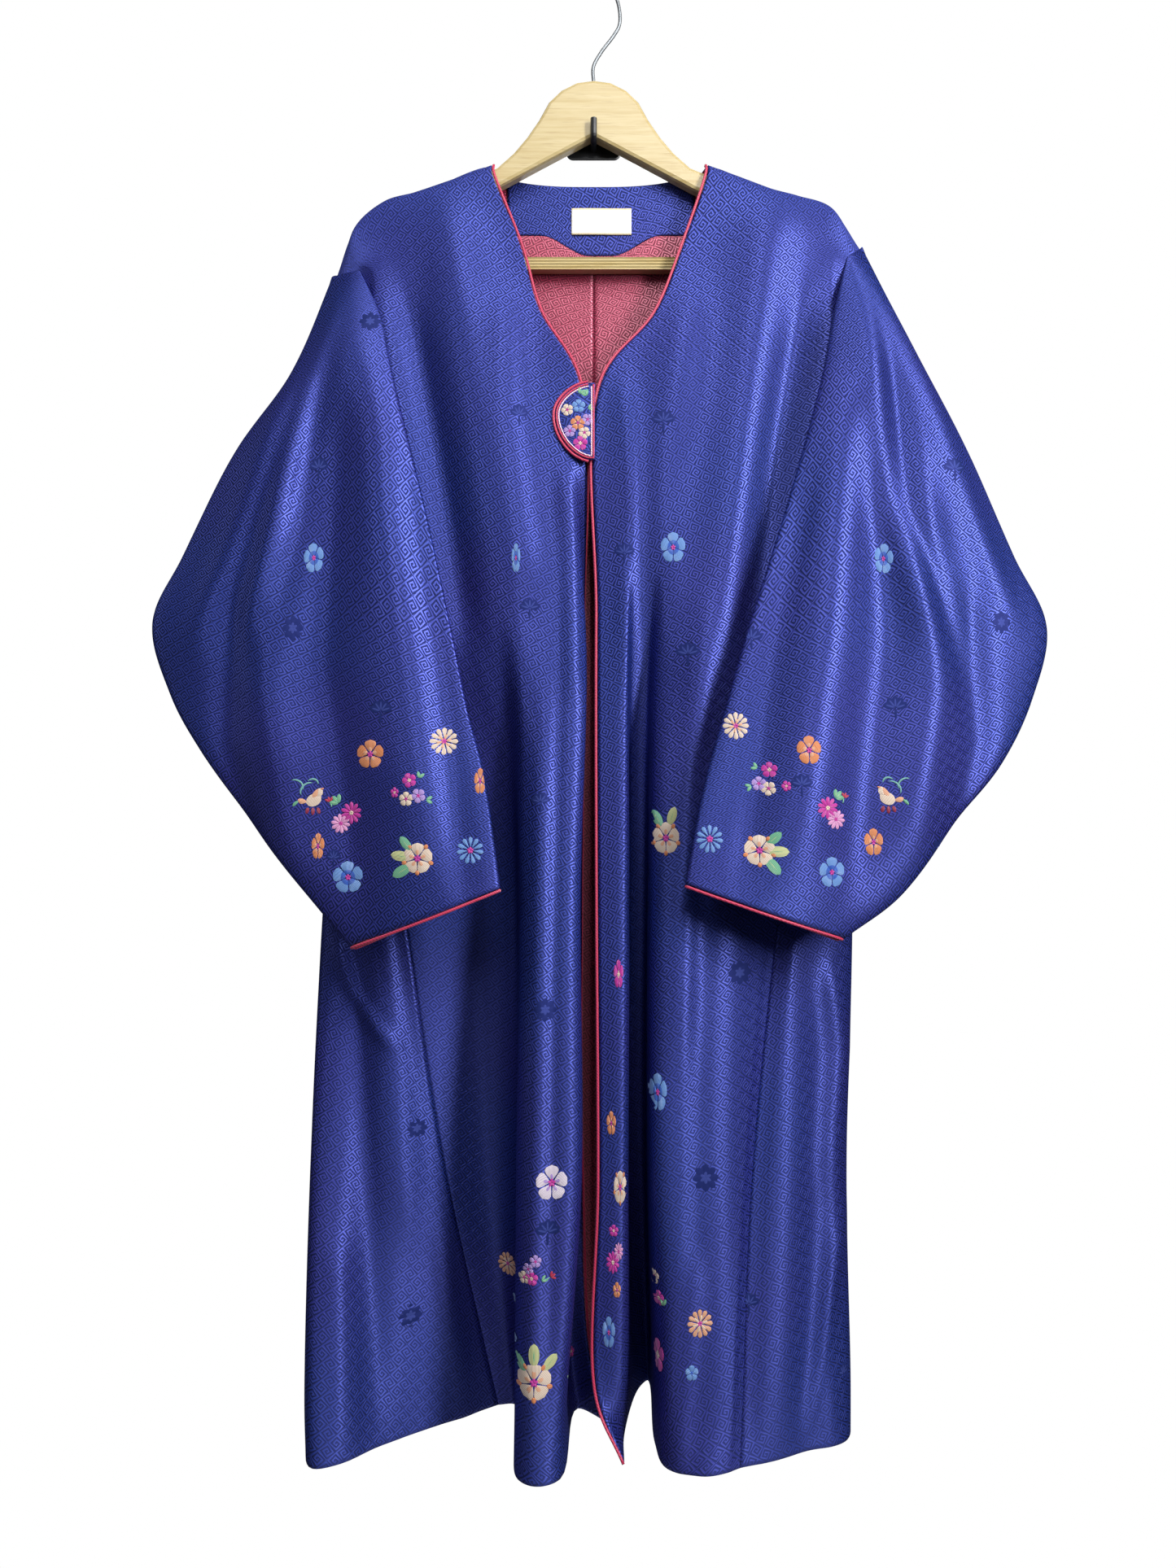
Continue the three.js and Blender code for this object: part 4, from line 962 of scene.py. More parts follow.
def tab_edge(share):
    """The curved side of the tab at a share of its height: the root of a sine that rises to the
    fullest place and of a cosine that falls from there."""
    up = np.sin(np.pi / 2 * share / TAB_BULGE_SHARE)
    down = np.cos(np.pi / 2 * (share - TAB_BULGE_SHARE) / (1 - TAB_BULGE_SHARE))
    rise = np.where(share < TAB_BULGE_SHARE, up, down)
    return TAB_STRAIGHT_X - TAB_EDGE_ROOM - (TAB_WIDTH - TAB_EDGE_ROOM) * np.sqrt(np.clip(rise, 0, None))


share = 0.5 - 0.495 * np.cos(np.linspace(0, np.pi, TAB_ROWS))[:, None]
across = np.linspace(0, 1, TAB_COLUMNS)[None, :]
crown = TAB_CROWN * np.sin(np.pi * across) * np.sin(np.pi * share)
tab_grid = np.stack(np.broadcast_arrays(
    tab_edge(share) + (TAB_STRAIGHT_X - tab_edge(share)) * across,
    TAB_TOP_Y + (TAB_BOTTOM_Y - TAB_TOP_Y) * share - crown,
    TAB_TOP_Z + (TAB_BOTTOM_Z - TAB_TOP_Z) * share,
), axis=-1)
grids["tab"] = tab_grid
tab = cloth_piece("closure_tab_silk", tab_grid, navy_silk, navy_silk, TO_VIEWER)
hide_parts("closure_tab")

curve = tab_grid[:, 0]
step = np.gradient(curve, axis=0)
outwards = np.stack([step[:, 2], np.zeros(len(step)), -step[:, 0]], axis=1)
outwards /= np.linalg.norm(outwards, axis=1, keepdims=True)
loop = curve + outwards * (PIPING_RADIUS + TAB_PIPING_GAP)
piece = tube_piece("piping_tab_silk", tube(loop, PIPING_RADIUS, PIPING_SIDES, hint), bias_silk)
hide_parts("piping_tab")


def row_on_tab(name, distance, above, radius, material):
    """A cord laid round the tab at a distance inside its edge: down the curve, then up the straight
    side."""
    edge_x = TAB_STRAIGHT_X - distance
    line = curve - outwards * distance
    line = line[line[:, 0] < edge_x - 0.4]
    ends = np.stack([line[-1], line[0]])
    ends[:, 0] = edge_x
    side = smooth(ends, 14)
    side[:, 1] = np.interp(-side[:, 2], [-TAB_TOP_Z, -TAB_BOTTOM_Z], [TAB_TOP_Y, TAB_BOTTOM_Y])
    path = np.concatenate([line, side]) - np.array([0, CLOTH / 2 + above, 0])
    made = tube_piece(name, tube(path, radius, TAB_ROW_SIDES, hint), material)


row_on_tab("tab_inner_piping", *TAB_INNER_PIPING, bias_silk)

# Two plies of rayon, pink and white, twisted together: the slant shows as pale diagonal stripes.
twisted_cord, tree = new_material("pink_white_twisted_cord")
place = node(tree, "TexCoord")
twist = node(tree, "TexWave", {"bands_direction": "DIAGONAL"}, Vector=place.outputs["Object"], Scale=300.0)
shade = mixed(tree, twist.outputs["Fac"], linear("e59ab4"), linear("f7eef0"))
bump = node(tree, "Bump", Height=twist.outputs["Fac"], Strength=0.5, Distance=0.0003)
surface(tree, Base_Color=shade, Roughness=0.45, Normal=bump.outputs[0])
row_on_tab("tab_couched_cord", *TAB_CORD, twisted_cord)

# Embroidery
# Flowers, leaves and birds worked by machine in glossy rayon thread, satin stitched so that each
# petal is a small dome of threads laid side by side. Between them the jacquard itself carries tone
# on tone lotus flowers, which stand hardly above the ground. The threads are drawn coarser than real.
THREADS = {
    "sky": "6f9fe0", "royal": "2f62c8", "magenta": "d232a8", "pink": "eca6d6", "lilac": "b89be0",
    "cream": "f0dcc4", "peach": "f0b48c", "orange": "e8935c", "white": "ece2ee", "leaf": "74bf94",
    "pale_leaf": "d3dc9c", "teal": "7cc0b6", "maroon": "982648", "crimson": "c22a50", "tone": "1c2658",
    "tone_light": "35407e",
}
# Rings of petals: thread, how many, where they start, length, width, fullness, and for some the first
# angle and the angle that they spread over; lengths are in shares of the flower's radius
FULL_RING = (90, 360)


def small_blossom(petals, heart):
    """Five round petals about a heart of four."""
    return [(petals, 5, 0.1, 0.9, 0.8, 1.8), (heart, 4, 0.0, 0.3, 0.24, 1.0)]


def daisy(petals, heart):
    """Ten narrow petals about a heart of five."""
    return [(petals, 10, 0.12, 0.88, 0.36, 1.6), (heart, 5, 0.0, 0.22, 0.2, 1.0)]


def single_leaf(blade, vein):
    """One leaf with its middle vein."""
    return [(blade, 1, 0.0, 1.0, 0.5, 1.0), (vein, 1, 0.08, 0.8, 0.1, 1.0)]


RINGS = {
    "pansy": [
        ("sky", 5, 0.12, 0.88, 0.84, 1.9), ("royal", 5, 0.12, 0.5, 0.5, 1.4),
        ("magenta", 5, 0.0, 0.22, 0.14, 1.0),
    ],
    "cornflower": [("sky", 11, 0.15, 0.85, 0.3, 2.6), ("magenta", 5, 0.0, 0.26, 0.2, 1.0)],
    "carnation": [
        ("cream", 12, 0.12, 0.88, 0.34, 2.8), ("peach", 6, 0.1, 0.42, 0.2, 1.2, 75, 360),
        ("magenta", 5, 0.0, 0.24, 0.15, 1.0),
    ],
    "peach_carnation": [
        ("peach", 12, 0.12, 0.88, 0.34, 2.8), ("cream", 6, 0.1, 0.5, 0.25, 1.2, 75, 360),
        ("magenta", 5, 0.0, 0.24, 0.15, 1.0),
    ],
    "orange_blossom": [
        ("orange", 5, 0.12, 0.88, 0.84, 1.9), ("peach", 5, 0.15, 0.5, 0.4, 1.3),
        ("magenta", 5, 0.0, 0.28, 0.16, 1.0),
    ],
    "white_blossom": [
        ("white", 5, 0.12, 0.88, 0.84, 1.9), ("lilac", 5, 0.15, 0.55, 0.35, 1.3),
        ("magenta", 5, 0.0, 0.28, 0.16, 1.0),
    ],
    "purple_daisy": daisy("magenta", "cream"),
    "pink_daisy": daisy("pink", "magenta"),
    "peony": [
        ("cream", 5, 0.12, 0.76, 0.76, 1.8), ("orange", 5, 0.66, 0.3, 0.24, 1.0, 126, 360),
        ("peach", 5, 0.15, 0.5, 0.34, 1.3), ("magenta", 5, 0.0, 0.24, 0.15, 1.0),
    ],
    "magenta_blossom": small_blossom("magenta", "cream"),
    "lilac_blossom": small_blossom("lilac", "magenta"),
    "cream_blossom": small_blossom("cream", "magenta"),
    "blue_blossom": small_blossom("sky", "royal"),
    "leaf_pair": [
        ("leaf", 2, 0.0, 1.0, 0.46, 1.0, 60, 120), ("pale_leaf", 2, 0.1, 0.75, 0.16, 1.0, 60, 120),
    ],
    "leaf_spray": [
        ("leaf", 3, 0.0, 1.0, 0.5, 1.0, 45, 135), ("pale_leaf", 3, 0.1, 0.75, 0.16, 1.0, 45, 135),
    ],
    "green_leaf": single_leaf("leaf", "pale_leaf"),
    "light_leaf": single_leaf("pale_leaf", "leaf"),
    "bud": [("crimson", 3, 0.1, 0.9, 0.4, 1.2, 50, 120), ("leaf", 1, -0.9, 0.9, 0.2, 1.0)],
    "lotus": [
        ("tone", 5, 0.05, 0.95, 0.55, 1.1, 18, 180), ("tone_light", 5, 0.1, 0.7, 0.16, 1.0, 18, 180),
        ("tone", 1, 0.0, 0.95, 0.2, 1.0, 270, 360),
    ],
    "medallion": [("tone", 8, 0.02, 0.98, 0.5, 1.4), ("tone_light", 6, 0.0, 0.45, 0.24, 1.0)],
}
# A small bird and its scrolls, as single stitched shapes: thread, start across and up, angle, length,
# width, fullness and bend, in shares of its radius
BIRD = [
    ("cream", -0.35, -0.25, 10, 0.9, 0.62, 1.0, 20), ("peach", -0.1, -0.1, 35, 0.75, 0.34, 1.3, 20),
    ("cream", 0.3, 0.0, 70, 0.5, 0.36, 1.1, 0), ("orange", 0.42, 0.4, 15, 0.22, 0.1, 0.8, 0),
    ("peach", -0.3, -0.2, 185, 0.5, 0.26, 1.2, -30), ("maroon", -0.2, -0.5, 250, 0.35, 0.2, 1.0, 0),
    ("maroon", 0.05, -0.5, 270, 0.4, 0.2, 1.0, 0), ("maroon", 0.3, -0.5, 290, 0.35, 0.2, 1.0, 0),
    ("teal", -0.6, 0.1, 120, 0.9, 0.1, 1.0, -150), ("teal", -0.55, 0.35, 60, 0.8, 0.1, 1.0, 160),
    ("teal", 0.3, 0.65, 80, 0.6, 0.1, 1.0, 170), ("leaf", -0.75, -0.2, 200, 0.4, 0.16, 1.0, 40),
]
PETAL_STEPS = 8
PETAL_SIDES = 4
PETAL_TIP = 0.02
STITCH_HEIGHT = 0.55
# The woven motifs are drawn larger and hardly raised
WOVEN_MOTIFS = ("lotus", "medallion")
WOVEN_SIZE = 1.25
WOVEN_HEIGHT = 0.15
# How far the first shape of a motif lies over the cloth, and how much further the last
STITCH_LAYERS = (0.1, 0.12)
# Steps in depth: within the first the cloth is one surface, over the second it is a fold's edge
SURFACE_STEP = 2.5
EDGE_STEP = 4


def stitched_shapes(motif, size, turn):
    """The shapes of one motif: rows of thread, start across and up, angle, length, width, fullness
    and bend, in millimetres from its centre. A ring spaces its petals evenly round its spread."""
    shapes = []
    if motif.startswith("bird"):
        shapes = BIRD
    else:
        for row in RINGS[motif]:
            thread, count, start, length, width, fullness, first, spread = (*row, *FULL_RING)[:8]
            for index in range(count):
                angle = first + spread * index / count + turn
                x, z = start * math.cos(math.radians(angle)), start * math.sin(math.radians(angle))
                shapes.append((thread, x, z, angle, length, width, fullness, 0))
    radius = size / 2 * (WOVEN_SIZE if motif in WOVEN_MOTIFS else 1)
    scales = (radius, radius, 1, radius, radius, 1, 1)
    return [(row[0], *(value * scale for value, scale in zip(row[1:], scales))) for row in shapes]


def petal_points(shapes):
    """Every shape as a small grid: along it the middle line turns by the bend, across it the width is
    the root of a sine of the share along, raised to the fullness, and it is domed by threads that
    stand highest along the middle. Gives x, z and height."""
    table = np.array([row[1:] for row in shapes], float)
    x0, z0, angle, length, width, fullness, bend = (table[:, k, None, None] for k in range(7))
    s = np.linspace(0, 1, PETAL_STEPS + 1)[None, :, None]
    t = np.linspace(-1, 1, PETAL_SIDES + 1)[None, None, :]
    heading = np.radians(angle + bend * s)
    middle = np.radians(angle + bend * s / 2)
    half = width / 2 * np.sqrt(np.clip(np.sin(np.pi * s ** fullness), 0, 1)) + PETAL_TIP
    x = x0 + length * s * np.cos(middle) - t * half * np.sin(heading)
    z = z0 + length * s * np.sin(middle) + t * half * np.cos(heading)
    dome = np.broadcast_to((1 - t ** 2) * np.sqrt(np.clip(np.sin(np.pi * s), 0, 1)), x.shape)
    stitches = np.stack(np.broadcast_arrays(t * half, length * s), axis=-1)
    return x, z, dome, stitches


def front_depth(grid, closed=False):
    """A relief of what faces the viewer: the foremost depth of the cloth in each cell of a 1 mm
    mesh across and up, from the grid drawn out finer."""
    if closed:
        grid = np.concatenate([grid, grid[:, :1]], axis=1)
    for axis in (0, 1):
        for _ in range(2):
            moved = np.swapaxes(grid, 0, axis)
            halves = (moved[1:] + moved[:-1]) / 2
            finer = np.empty((len(moved) + len(halves),) + moved.shape[1:])
            finer[0::2], finer[1::2] = moved, halves
            grid = np.swapaxes(finer, 0, axis)
    points = grid.reshape(-1, 3)
    corner = np.floor(points[:, [0, 2]].min(axis=0)) - 2
    size = (np.ceil(points[:, [0, 2]].max(axis=0)) - corner).astype(int) + 3
    relief = np.full(tuple(size), np.inf)
    cells = np.round(points[:, [0, 2]] - corner).astype(int)
    np.minimum.at(relief, (cells[:, 0], cells[:, 1]), points[:, 1])
    around = np.stack([np.roll(relief, (i, j), (0, 1)) for i in (-1, 0, 1) for j in (-1, 0, 1)])
    near = around < np.min(around, axis=0) + SURFACE_STEP
    total = np.where(near, around, 0).sum(axis=0)
    count = near.sum(axis=0)
    return corner, np.where(count > 2, total / np.maximum(count, 1), np.inf)


def read_depth(relief, x, z):
    """The depth at x and z between the four cells round it."""
    corner, cells = relief
    px = np.clip(x - corner[0], 0, cells.shape[0] - 2.001)
    pz = np.clip(z - corner[1], 0, cells.shape[1] - 2.001)
    i, j = px.astype(int), pz.astype(int)
    a, b = px - i, pz - j
    upper = cells[i, j] * (1 - a) + cells[i + 1, j] * a
    lower = cells[i, j + 1] * (1 - a) + cells[i + 1, j + 1] * a
    return upper * (1 - b) + lower * b


def place_seen(relief, across, down):
    """Where the cloth is that the camera sees at a place in the photograph: its depth and its place
    are found by turns, four times over."""
    y = -80.0
    for _ in range(4):
        scale = (y - CAMERA_PLACE[1]) / PHOTO_FOCAL
        x = CAMERA_PLACE[0] + (across - PHOTO_WIDTH / 2) * scale
        z = CAMERA_PLACE[2] - (down - PHOTO_HEIGHT / 2) * scale
        found = float(read_depth(relief, np.array(x), np.array(z)))
        y = found if math.isfinite(found) else y
    return x, z


def embroidery_piece(name, relief, motifs, sign):
    """All the motifs on one panel as one mesh. Each shape's points take their depth from the cloth
    under them, and a face that would bridge a deep fold or an edge is left out."""
    pieces = {"x": [], "z": [], "dome": [], "stitch": [], "thread": [], "lift": []}
    for motif, centre_x, centre_z, size, narrow, turn in motifs:
        shapes = stitched_shapes(motif, size, turn)
        x, z, dome, stitches = petal_points(shapes)
        mirror = -1 if motif == "bird_mirrored" else 1
        pieces["x"].append(centre_x + x * narrow * mirror)
        pieces["z"].append(centre_z + z)
        pieces["dome"].append(dome)
        pieces["stitch"].append(stitches)
        pieces["thread"].append(np.array([linear(THREADS[row[0]]) for row in shapes]))
        layer = STITCH_LAYERS[0] + STITCH_LAYERS[1] * np.arange(len(shapes)) / len(shapes)
        flat = WOVEN_HEIGHT if motif in WOVEN_MOTIFS else 1.0
        pieces["lift"].append(np.stack([layer, np.full(len(shapes), flat)], axis=1))
    x, z, dome, stitches, thread, lift = (np.concatenate(pieces[key]) for key in pieces)
    depth = read_depth(relief, x, z)
    layer, raised = lift.T[:, :, None, None]
    y = depth - sign * (CLOTH / 2 + layer + dome * STITCH_HEIGHT * raised)
    index = np.arange(x.size).reshape(x.shape)
    left, right = index[:, :, :-1], index[:, :, 1:]
    corners = np.stack([left[:, :-1], right[:, :-1], right[:, 1:], left[:, 1:]], axis=-1).reshape(-1, 4)
    at = depth.ravel()[corners]
    with np.errstate(invalid="ignore"):
        sound = np.isfinite(at).all(axis=1) & ((at.max(axis=1) - at.min(axis=1)) < EDGE_STEP)
    corners = corners[sound]
    points = np.stack([x, np.where(np.isfinite(y), y, 0), z], axis=-1).reshape(-1, 3)
    used, corners = np.unique(corners, return_inverse=True)
    corners = corners.reshape(-1, 4)
    points = points[used]
    a, b, d = (points[corners[:, k]] for k in (0, 1, 3))
    wrong = np.cross(b - a, d - a)[:, 1] * sign > 0
    corners[wrong] = corners[wrong][:, ::-1]
    mesh = bpy.data.meshes.new(name)
    mesh.from_pydata((points * MM).tolist(), [], corners.tolist())
    colours = np.broadcast_to(thread[:, None, None, :], x.shape + (4,)).reshape(-1, 4)[used]
    woven = np.broadcast_to(raised < 1, x.shape).ravel()[used]
    shade = mesh.color_attributes.new(name="thread", type="FLOAT_COLOR", domain="POINT")
    shade.data.foreach_set("color", np.ascontiguousarray(colours, np.float32).ravel())
    layer = mesh.uv_layers.new(name="stitch_mm")
    layer.data.foreach_set("uv", stitches.reshape(-1, 2)[used][corners].ravel())
    mesh.polygons.foreach_set("use_smooth", np.ones(len(corners), bool))
    mesh.materials.append(rayon_thread)
    mesh.materials.append(woven_lotus)
    mesh.polygons.foreach_set("material_index", woven[corners[:, 0]].astype(np.int32))
    piece = new_object(name, mesh)
    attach(piece, "root")


# Glossy rayon in the colour of each stitch: the strands run along the petal, with painted shade in the
# grooves between them, and their bumps give it the broken shine of satin stitch.
rayon_thread, tree = new_material("rayon_embroidery_thread")
dyed = node(tree, "VertexColor", {"layer_name": "thread"})
place = node(tree, "UVMap", {"uv_map": "stitch_mm"})
strands = node(tree, "TexWave", {"bands_direction": "X"}, Vector=place.outputs[0], Scale=0.42,
               Distortion=1.2, Detail=1.0)
# Painted shade: the dyed colour at about half strength, laid in the grooves between strands.
painted_groove_shade = node(tree, "Mix", {"data_type": "RGBA", "blend_type": "MULTIPLY"}, _0=1.0,
                 _6=dyed.outputs["Color"], _7=(0.5, 0.45, 0.5, 1))
laid = mixed(tree, strands.outputs["Fac"], painted_groove_shade.outputs[2], dyed.outputs["Color"])
bump = node(tree, "Bump", Height=strands.outputs["Fac"], Strength=0.6, Distance=0.0004)
rayon = surface(tree, Base_Color=laid, Roughness=0.38, Normal=bump.outputs[0])
rayon.inputs["Sheen Weight"].default_value = 0.3

# The woven flowers: satin floats a shade off the ground, so that they show by their shine.
woven_lotus, tree = new_material("satin_woven_motif")
dyed = node(tree, "VertexColor", {"layer_name": "thread"})
place = node(tree, "UVMap", {"uv_map": "stitch_mm"})
floats = node(tree, "TexWave", {"bands_direction": "X"}, Vector=place.outputs[0], Scale=0.6, Distortion=0.6)
bump = node(tree, "Bump", Height=floats.outputs["Fac"], Strength=0.2, Distance=0.0002)
lotus_silk = surface(tree, Base_Color=dyed.outputs["Color"], Roughness=0.5, Normal=bump.outputs[0])
lotus_silk.inputs["Specular Tint"].default_value = linear("7078f4")

# Each motif: its kind, its place across and down in the photograph, its size in millimetres and, where
# they matter, how narrow the turned cloth shows it and its turn. The tab has its own small bunch.
SEEN_MOTIFS = {
    "sleeve_right": [
        ("pansy", 386, 686, 24, 0.65, 10), ("orange_blossom", 455, 927, 22), ("carnation", 546, 911, 21),
        ("orange_blossom", 590, 960, 20, 0.45), ("magenta_blossom", 503, 959, 11, 1, 20),
        ("magenta_blossom", 485, 974, 8, 0.8), ("cream_blossom", 499, 982, 11),
        ("lilac_blossom", 514, 978, 11, 1, 30), ("leaf_pair", 515, 956, 10, 1, -20),
        ("leaf_pair", 524, 983, 10, 1, -90), ("bird", 384, 980, 30, 0.9), ("purple_daisy", 432, 999, 17),
        ("pink_daisy", 419, 1012, 15, 1, 10), ("leaf_spray", 416, 987, 14, 1, 40),
        ("bud", 406, 986, 9, 1, 20), ("orange_blossom", 391, 1040, 20, 0.5),
        ("pansy", 428, 1078, 24, 1, 5), ("green_leaf", 505, 1064, 32, 1, 120),
        ("light_leaf", 504, 1054, 30, 1, 82), ("green_leaf", 505, 1045, 26, 1, 40),
        ("peony", 513, 1055, 26), ("cornflower", 578, 1045, 20), ("lotus", 392, 576, 16, 0.8),
        ("medallion", 360, 772, 16, 0.8), ("lotus", 468, 874, 15), ("medallion", 455, 395, 14),
        ("lotus", 410, 1055, 12, 0.8),
    ],
    "sleeve_left": [
        ("pansy", 1085, 687, 24, 0.6, -10), ("carnation", 904, 892, 21, 0.95),
        ("orange_blossom", 994, 922, 22, 0.85), ("magenta_blossom", 945, 946, 12),
        ("magenta_blossom", 966, 966, 8, 0.9, 20), ("lilac_blossom", 932, 963, 11),
        ("cream_blossom", 944, 969, 11, 1, 30), ("leaf_pair", 930, 944, 10, 1, 60),
        ("leaf_pair", 923, 966, 10, 1, 110), ("bird_mirrored", 1092, 978, 30, 0.9),
        ("purple_daisy", 1017, 993, 17), ("pink_daisy", 1027, 1007, 15, 1, 10),
        ("leaf_spray", 1027, 981, 14, 1, -40), ("bud", 1037, 981, 9, 1, -20),
        ("orange_blossom", 1073, 1035, 21, 0.7), ("cornflower", 872, 1031, 21, 0.95),
        ("green_leaf", 941, 1054, 32, 1, -140), ("light_leaf", 943, 1046, 32, 1, -92),
        ("green_leaf", 942, 1038, 28, 1, -50), ("peony", 933, 1045, 26), ("pansy", 1022, 1072, 23, 0.9),
        ("lotus", 1173, 577, 16), ("medallion", 1230, 765, 15, 0.8), ("lotus", 985, 965, 14),
        ("medallion", 1147, 1042, 14, 0.9), ("lotus", 1100, 870, 15), ("lotus", 923, 785, 15),
    ],
    "front_right": [
        ("pansy", 634, 686, 24, 0.3), ("white_blossom", 678, 1453, 25, 0.95),
        ("peach_carnation", 624, 1552, 18, 0.9), ("lilac_blossom", 658, 1550, 9),
        ("magenta_blossom", 653, 1571, 10), ("cream_blossom", 644, 1569, 9, 1, 10),
        ("lilac_blossom", 649, 1559, 8, 1, 30), ("bud", 676, 1569, 9, 1, -60),
        ("leaf_pair", 666, 1574, 9, 1, -60), ("blue_blossom", 635, 1600, 8),
        ("green_leaf", 645, 1686, 26, 1, 32), ("light_leaf", 656, 1680, 32),
        ("light_leaf", 668, 1684, 28, 1, -42), ("peony", 656, 1699, 29),
        ("leaf_pair", 701, 1648, 9, 0.5), ("magenta_blossom", 702, 1660, 9, 0.5),
        ("lotus", 638, 510, 15, 0.8), ("lotus", 651, 748, 14), ("lotus", 664, 986, 13),
        ("medallion", 670, 1241, 14), ("lotus", 673, 1514, 15), ("lotus", 673, 1786, 18),
    ],
    "front_left": [
        ("pansy", 827, 673, 25, 0.8), ("green_leaf", 813, 1016, 30, 0.9, 30),
        ("light_leaf", 822, 1014, 30, 0.9, -20), ("peony", 818, 1030, 28, 0.85),
        ("magenta_blossom", 760, 1197, 22, 0.35), ("orange_blossom", 751, 1380, 18, 0.4),
        ("pansy", 808, 1342, 28, 0.5), ("peony", 762, 1459, 28, 0.4),
        ("magenta_blossom", 754, 1512, 9, 0.8), ("purple_daisy", 753, 1551, 17, 0.6),
        ("pink_daisy", 760, 1538, 14, 0.5), ("orange_blossom", 758, 1585, 12, 0.5),
        ("pansy", 748, 1637, 24, 0.4), ("cream_blossom", 804, 1570, 11, 0.6),
        ("magenta_blossom", 809, 1594, 11, 0.7), ("leaf_pair", 814, 1604, 12, 0.8),
        ("magenta_blossom", 808, 1664, 24, 0.35), ("peach_carnation", 860, 1626, 20, 0.95),
        ("blue_blossom", 850, 1687, 11, 0.9), ("lotus", 815, 518, 16), ("lotus", 767, 680, 14),
        ("lotus", 845, 804, 16), ("medallion", 909, 1195, 15), ("medallion", 867, 1447, 16),
    ],
    "side_gusset_left": [("lotus", 920, 1602, 13), ("lotus", 1036, 1687, 13, 0.6)],
    "side_gusset_right": [
        ("lotus", 530, 1287, 15), ("medallion", 513, 1386, 12), ("medallion", 505, 1616, 14),
    ],
    "tab": [
        ("leaf_pair", 712, 484, 12, 1, -30), ("leaf_pair", 720, 487, 12, 1, 20),
        ("leaf_pair", 723, 503, 10, 1, -60), ("blue_blossom", 711, 499, 11),
        ("cream_blossom", 697, 504, 10, 1, 20), ("orange_blossom", 710, 520, 12),
        ("lilac_blossom", 722, 516, 10, 1, 30), ("lilac_blossom", 700, 530, 10),
        ("cream_blossom", 718, 532, 10, 1, 40), ("magenta_blossom", 713, 545, 12),
        ("leaf_pair", 722, 556, 9, 1, 200),
    ],
}


def full_row(kind, across, along, size, narrow=1, turn=0):
    """A motif that faces the viewer and stands upright, unless its row says more."""
    return kind, across, along, size, narrow, turn


for name, rows in SEEN_MOTIFS.items():
    relief = front_depth(grids[name], closed=name.startswith("sleeve"))
    motifs = []
    for motif, across, down, size, narrow, turn in (full_row(*row) for row in rows):
        centre_x, centre_z = place_seen(relief, across, down)
        motifs.append((motif, centre_x, centre_z, size, narrow, turn))
    embroidery_piece("embroidery_" + name, relief, motifs, 1)

# The back, which the photograph doesn't show, carries flowers of the same kinds: place across and up
BACK_MOTIFS = {
    "back_left": [
        ("pansy", 60, -300, 24), ("lotus", 110, -180, 16), ("lotus", 45, -480, 16),
        ("peony", 105, -560, 28), ("medallion", 60, -700, 16), ("white_blossom", 70, -850, 25),
        ("peach_carnation", 120, -900, 20), ("purple_daisy", 50, -930, 17), ("pink_daisy", 60, -942, 15),
        ("peony", 95, -980, 28), ("blue_blossom", 130, -960, 11),
    ],
    "back_right": [
        ("pansy", -70, -320, 24), ("lotus", -120, -200, 16), ("lotus", -50, -420, 16),
        ("orange_blossom", -110, -520, 22), ("medallion", -55, -640, 16), ("pansy", -90, -820, 25),
        ("carnation", -50, -900, 20), ("magenta_blossom", -120, -930, 12),
        ("lilac_blossom", -110, -942, 11), ("peony", -75, -985, 28), ("cornflower", -130, -985, 20),
    ],
    "sleeve_left": [
        ("pansy", 290, -400, 23), ("orange_blossom", 210, -520, 22), ("peony", 170, -600, 26),
        ("carnation", 130, -520, 20), ("lotus", 250, -340, 16), ("cornflower", 110, -600, 20),
    ],
    "sleeve_right": [
        ("pansy", -280, -400, 23), ("orange_blossom", -200, -520, 22), ("peony", -165, -600, 26),
        ("carnation", -120, -520, 20), ("lotus", -240, -340, 16), ("cornflower", -110, -600, 20),
    ],
}
for name, rows in BACK_MOTIFS.items():
    flipped = grids[name] * np.array([1, -1, 1])
    corner, cells = front_depth(flipped, closed=name.startswith("sleeve"))
    motifs = [full_row(*row) for row in rows]
    embroidery_piece("embroidery_behind_" + name, (corner, -cells), motifs, -1)

# Hanger and wall hook
# A hanger of sawn and lacquered wood with a bent steel wire pushed into its top, on a black steel
# plate and rod screwed to the wall. The solids of the wood and the wall hook are kept as they are;
# the wire is drawn again as a rounder tube on the same line.
# Pale beech under clear lacquer: fine straight grain along the wood, short darker flecks, soft gloss.
beech, tree = new_material("lacquered_beech")
place = node(tree, "TexCoord")
stretched = node(tree, "Mapping", Vector=place.outputs["Object"], Scale=(9.0, 60.0, 160.0))
grain = node(tree, "TexNoise", Vector=stretched.outputs[0], Scale=2.2, Detail=6.0, Roughness=0.6,
             Distortion=0.4)
fibre = node(tree, "Mapping", Vector=place.outputs["Object"], Scale=(40.0, 900.0, 900.0))
flecks = node(tree, "TexNoise", Vector=fibre.outputs[0], Scale=1.0, Detail=3.0)
ramp = node(tree, "MapRange", Value=grain.outputs["Fac"], From_Min=0.35, From_Max=0.7)
wood = mixed(tree, ramp.outputs[0], linear("bfae80"), linear("b09a64"))
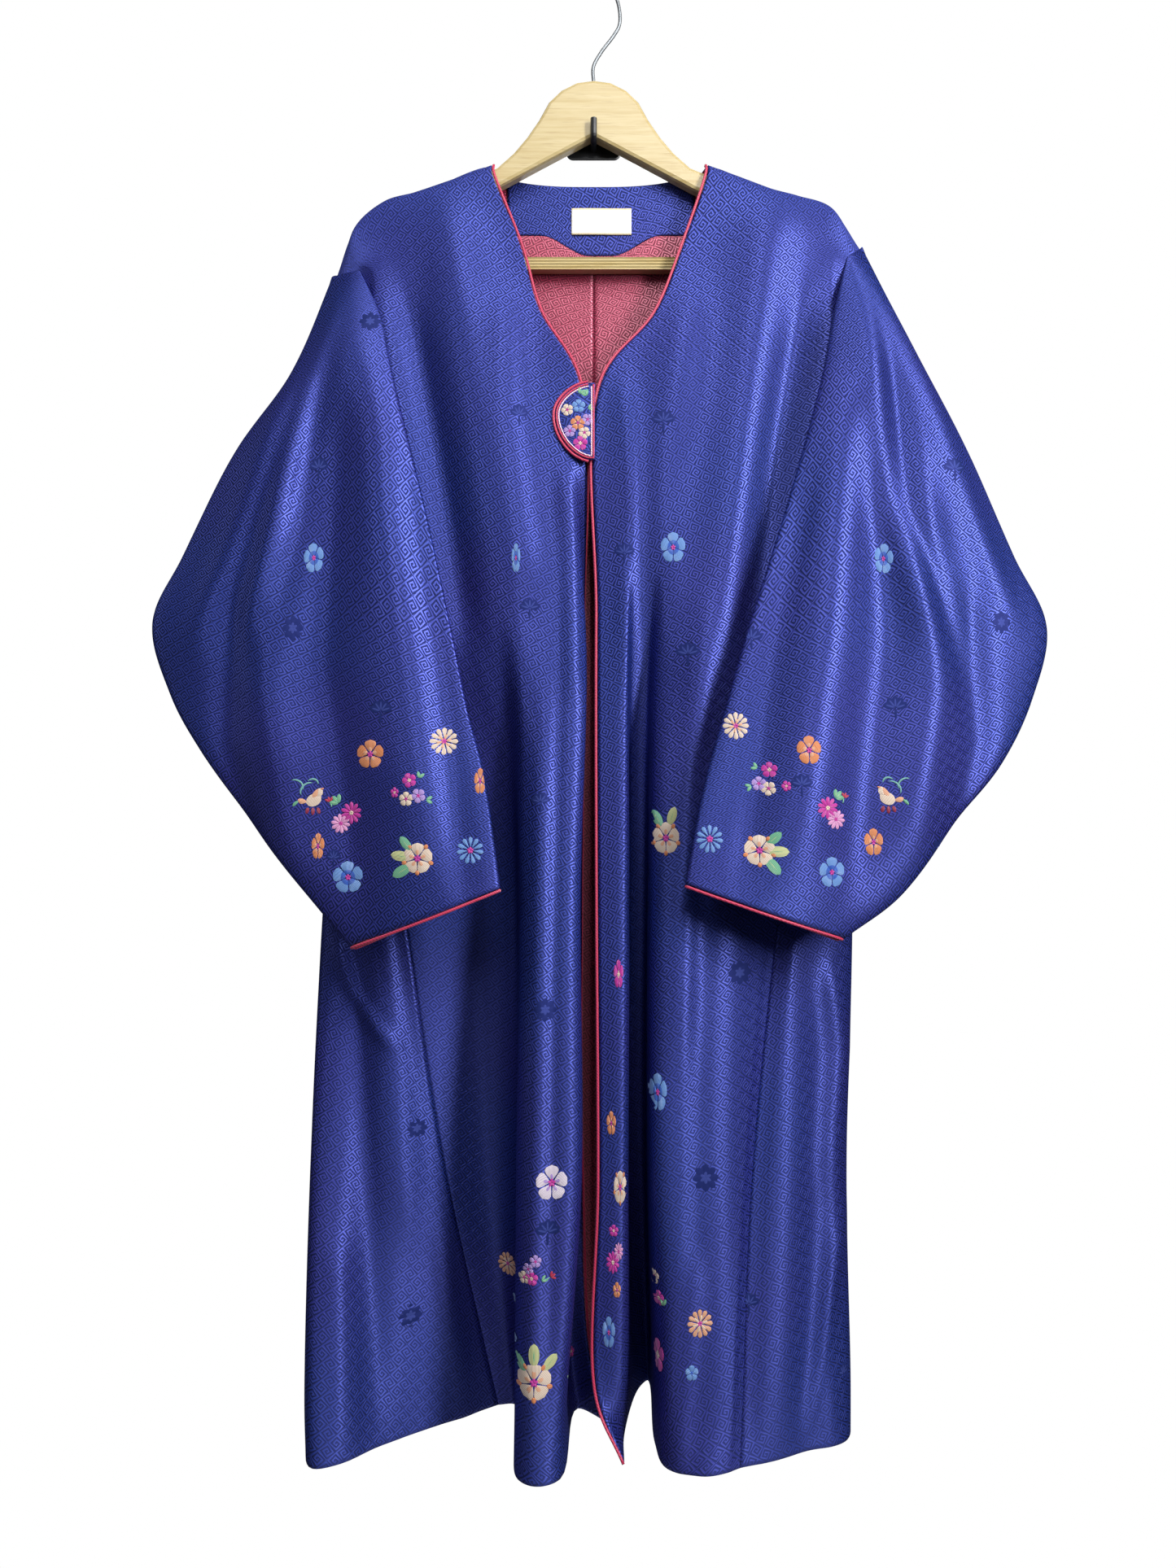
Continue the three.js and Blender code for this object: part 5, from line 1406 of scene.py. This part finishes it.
dots = node(tree, "MapRange", Value=flecks.outputs["Fac"], From_Min=0.58, From_Max=0.72, To_Max=0.5)
flecked = mixed(tree, dots.outputs[0], wood, linear("957a48"))
bump = node(tree, "Bump", Height=flecks.outputs["Fac"], Strength=0.15, Distance=0.0002)
lacquer = surface(tree, Base_Color=flecked, Roughness=0.42, Normal=bump.outputs[0])
lacquer.inputs["Coat Weight"].default_value = 0.25
lacquer.inputs["Coat Roughness"].default_value = 0.25

# Bright steel wire: a mirror dulled by handling, so that it shows the room as soft streaks.
steel_wire, tree = new_material("polished_steel_wire")
place = node(tree, "TexCoord")
scratch = node(tree, "TexNoise", Vector=place.outputs["Object"], Scale=900.0, Detail=2.0)
rough = node(tree, "MapRange", Value=scratch.outputs["Fac"], To_Min=0.45, To_Max=0.55)
surface(tree, Base_Color=linear("868a8d"), Metallic=1.0, Roughness=rough.outputs[0])

# Black powder coat: a matt skin with a fine orange peel that breaks the highlight.
black_coat, tree = new_material("black_powder_coat")
place = node(tree, "TexCoord")
peel = node(tree, "TexNoise", Vector=place.outputs["Object"], Scale=1400.0, Detail=1.0)
bump = node(tree, "Bump", Height=peel.outputs["Fac"], Strength=0.2, Distance=0.0003)
surface(tree, Base_Color=linear("101317"), Roughness=0.45, Normal=bump.outputs[0])

WIRE_RADIUS = 1.4
WIRE_Y = -14.5
WIRE_SIDES = 18
WIRE_PLACES = [
    (0, 29.6), (-0.3, 43), (6, 55), (16.5, 69), (21, 77), (21.8, 86), (19, 100), (11, 114), (-2, 123),
    (-14, 124), (-22, 120),
]
wire_line = smooth(np.array([(x, WIRE_Y, z) for x, z in WIRE_PLACES], float), 14)
hook = tube_piece("hanger_hook_wire", tube(wire_line, WIRE_RADIUS, WIRE_SIDES, hint), steel_wire)
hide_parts("hanger_hook")

solids = {"hanger_body": beech, "hanger_bar": beech, "wall_plate": black_coat, "wall_hook": black_coat}
for name, material in solids.items():
    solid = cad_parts[name]
    solid.data.materials.clear()
    solid.data.materials.append(material)
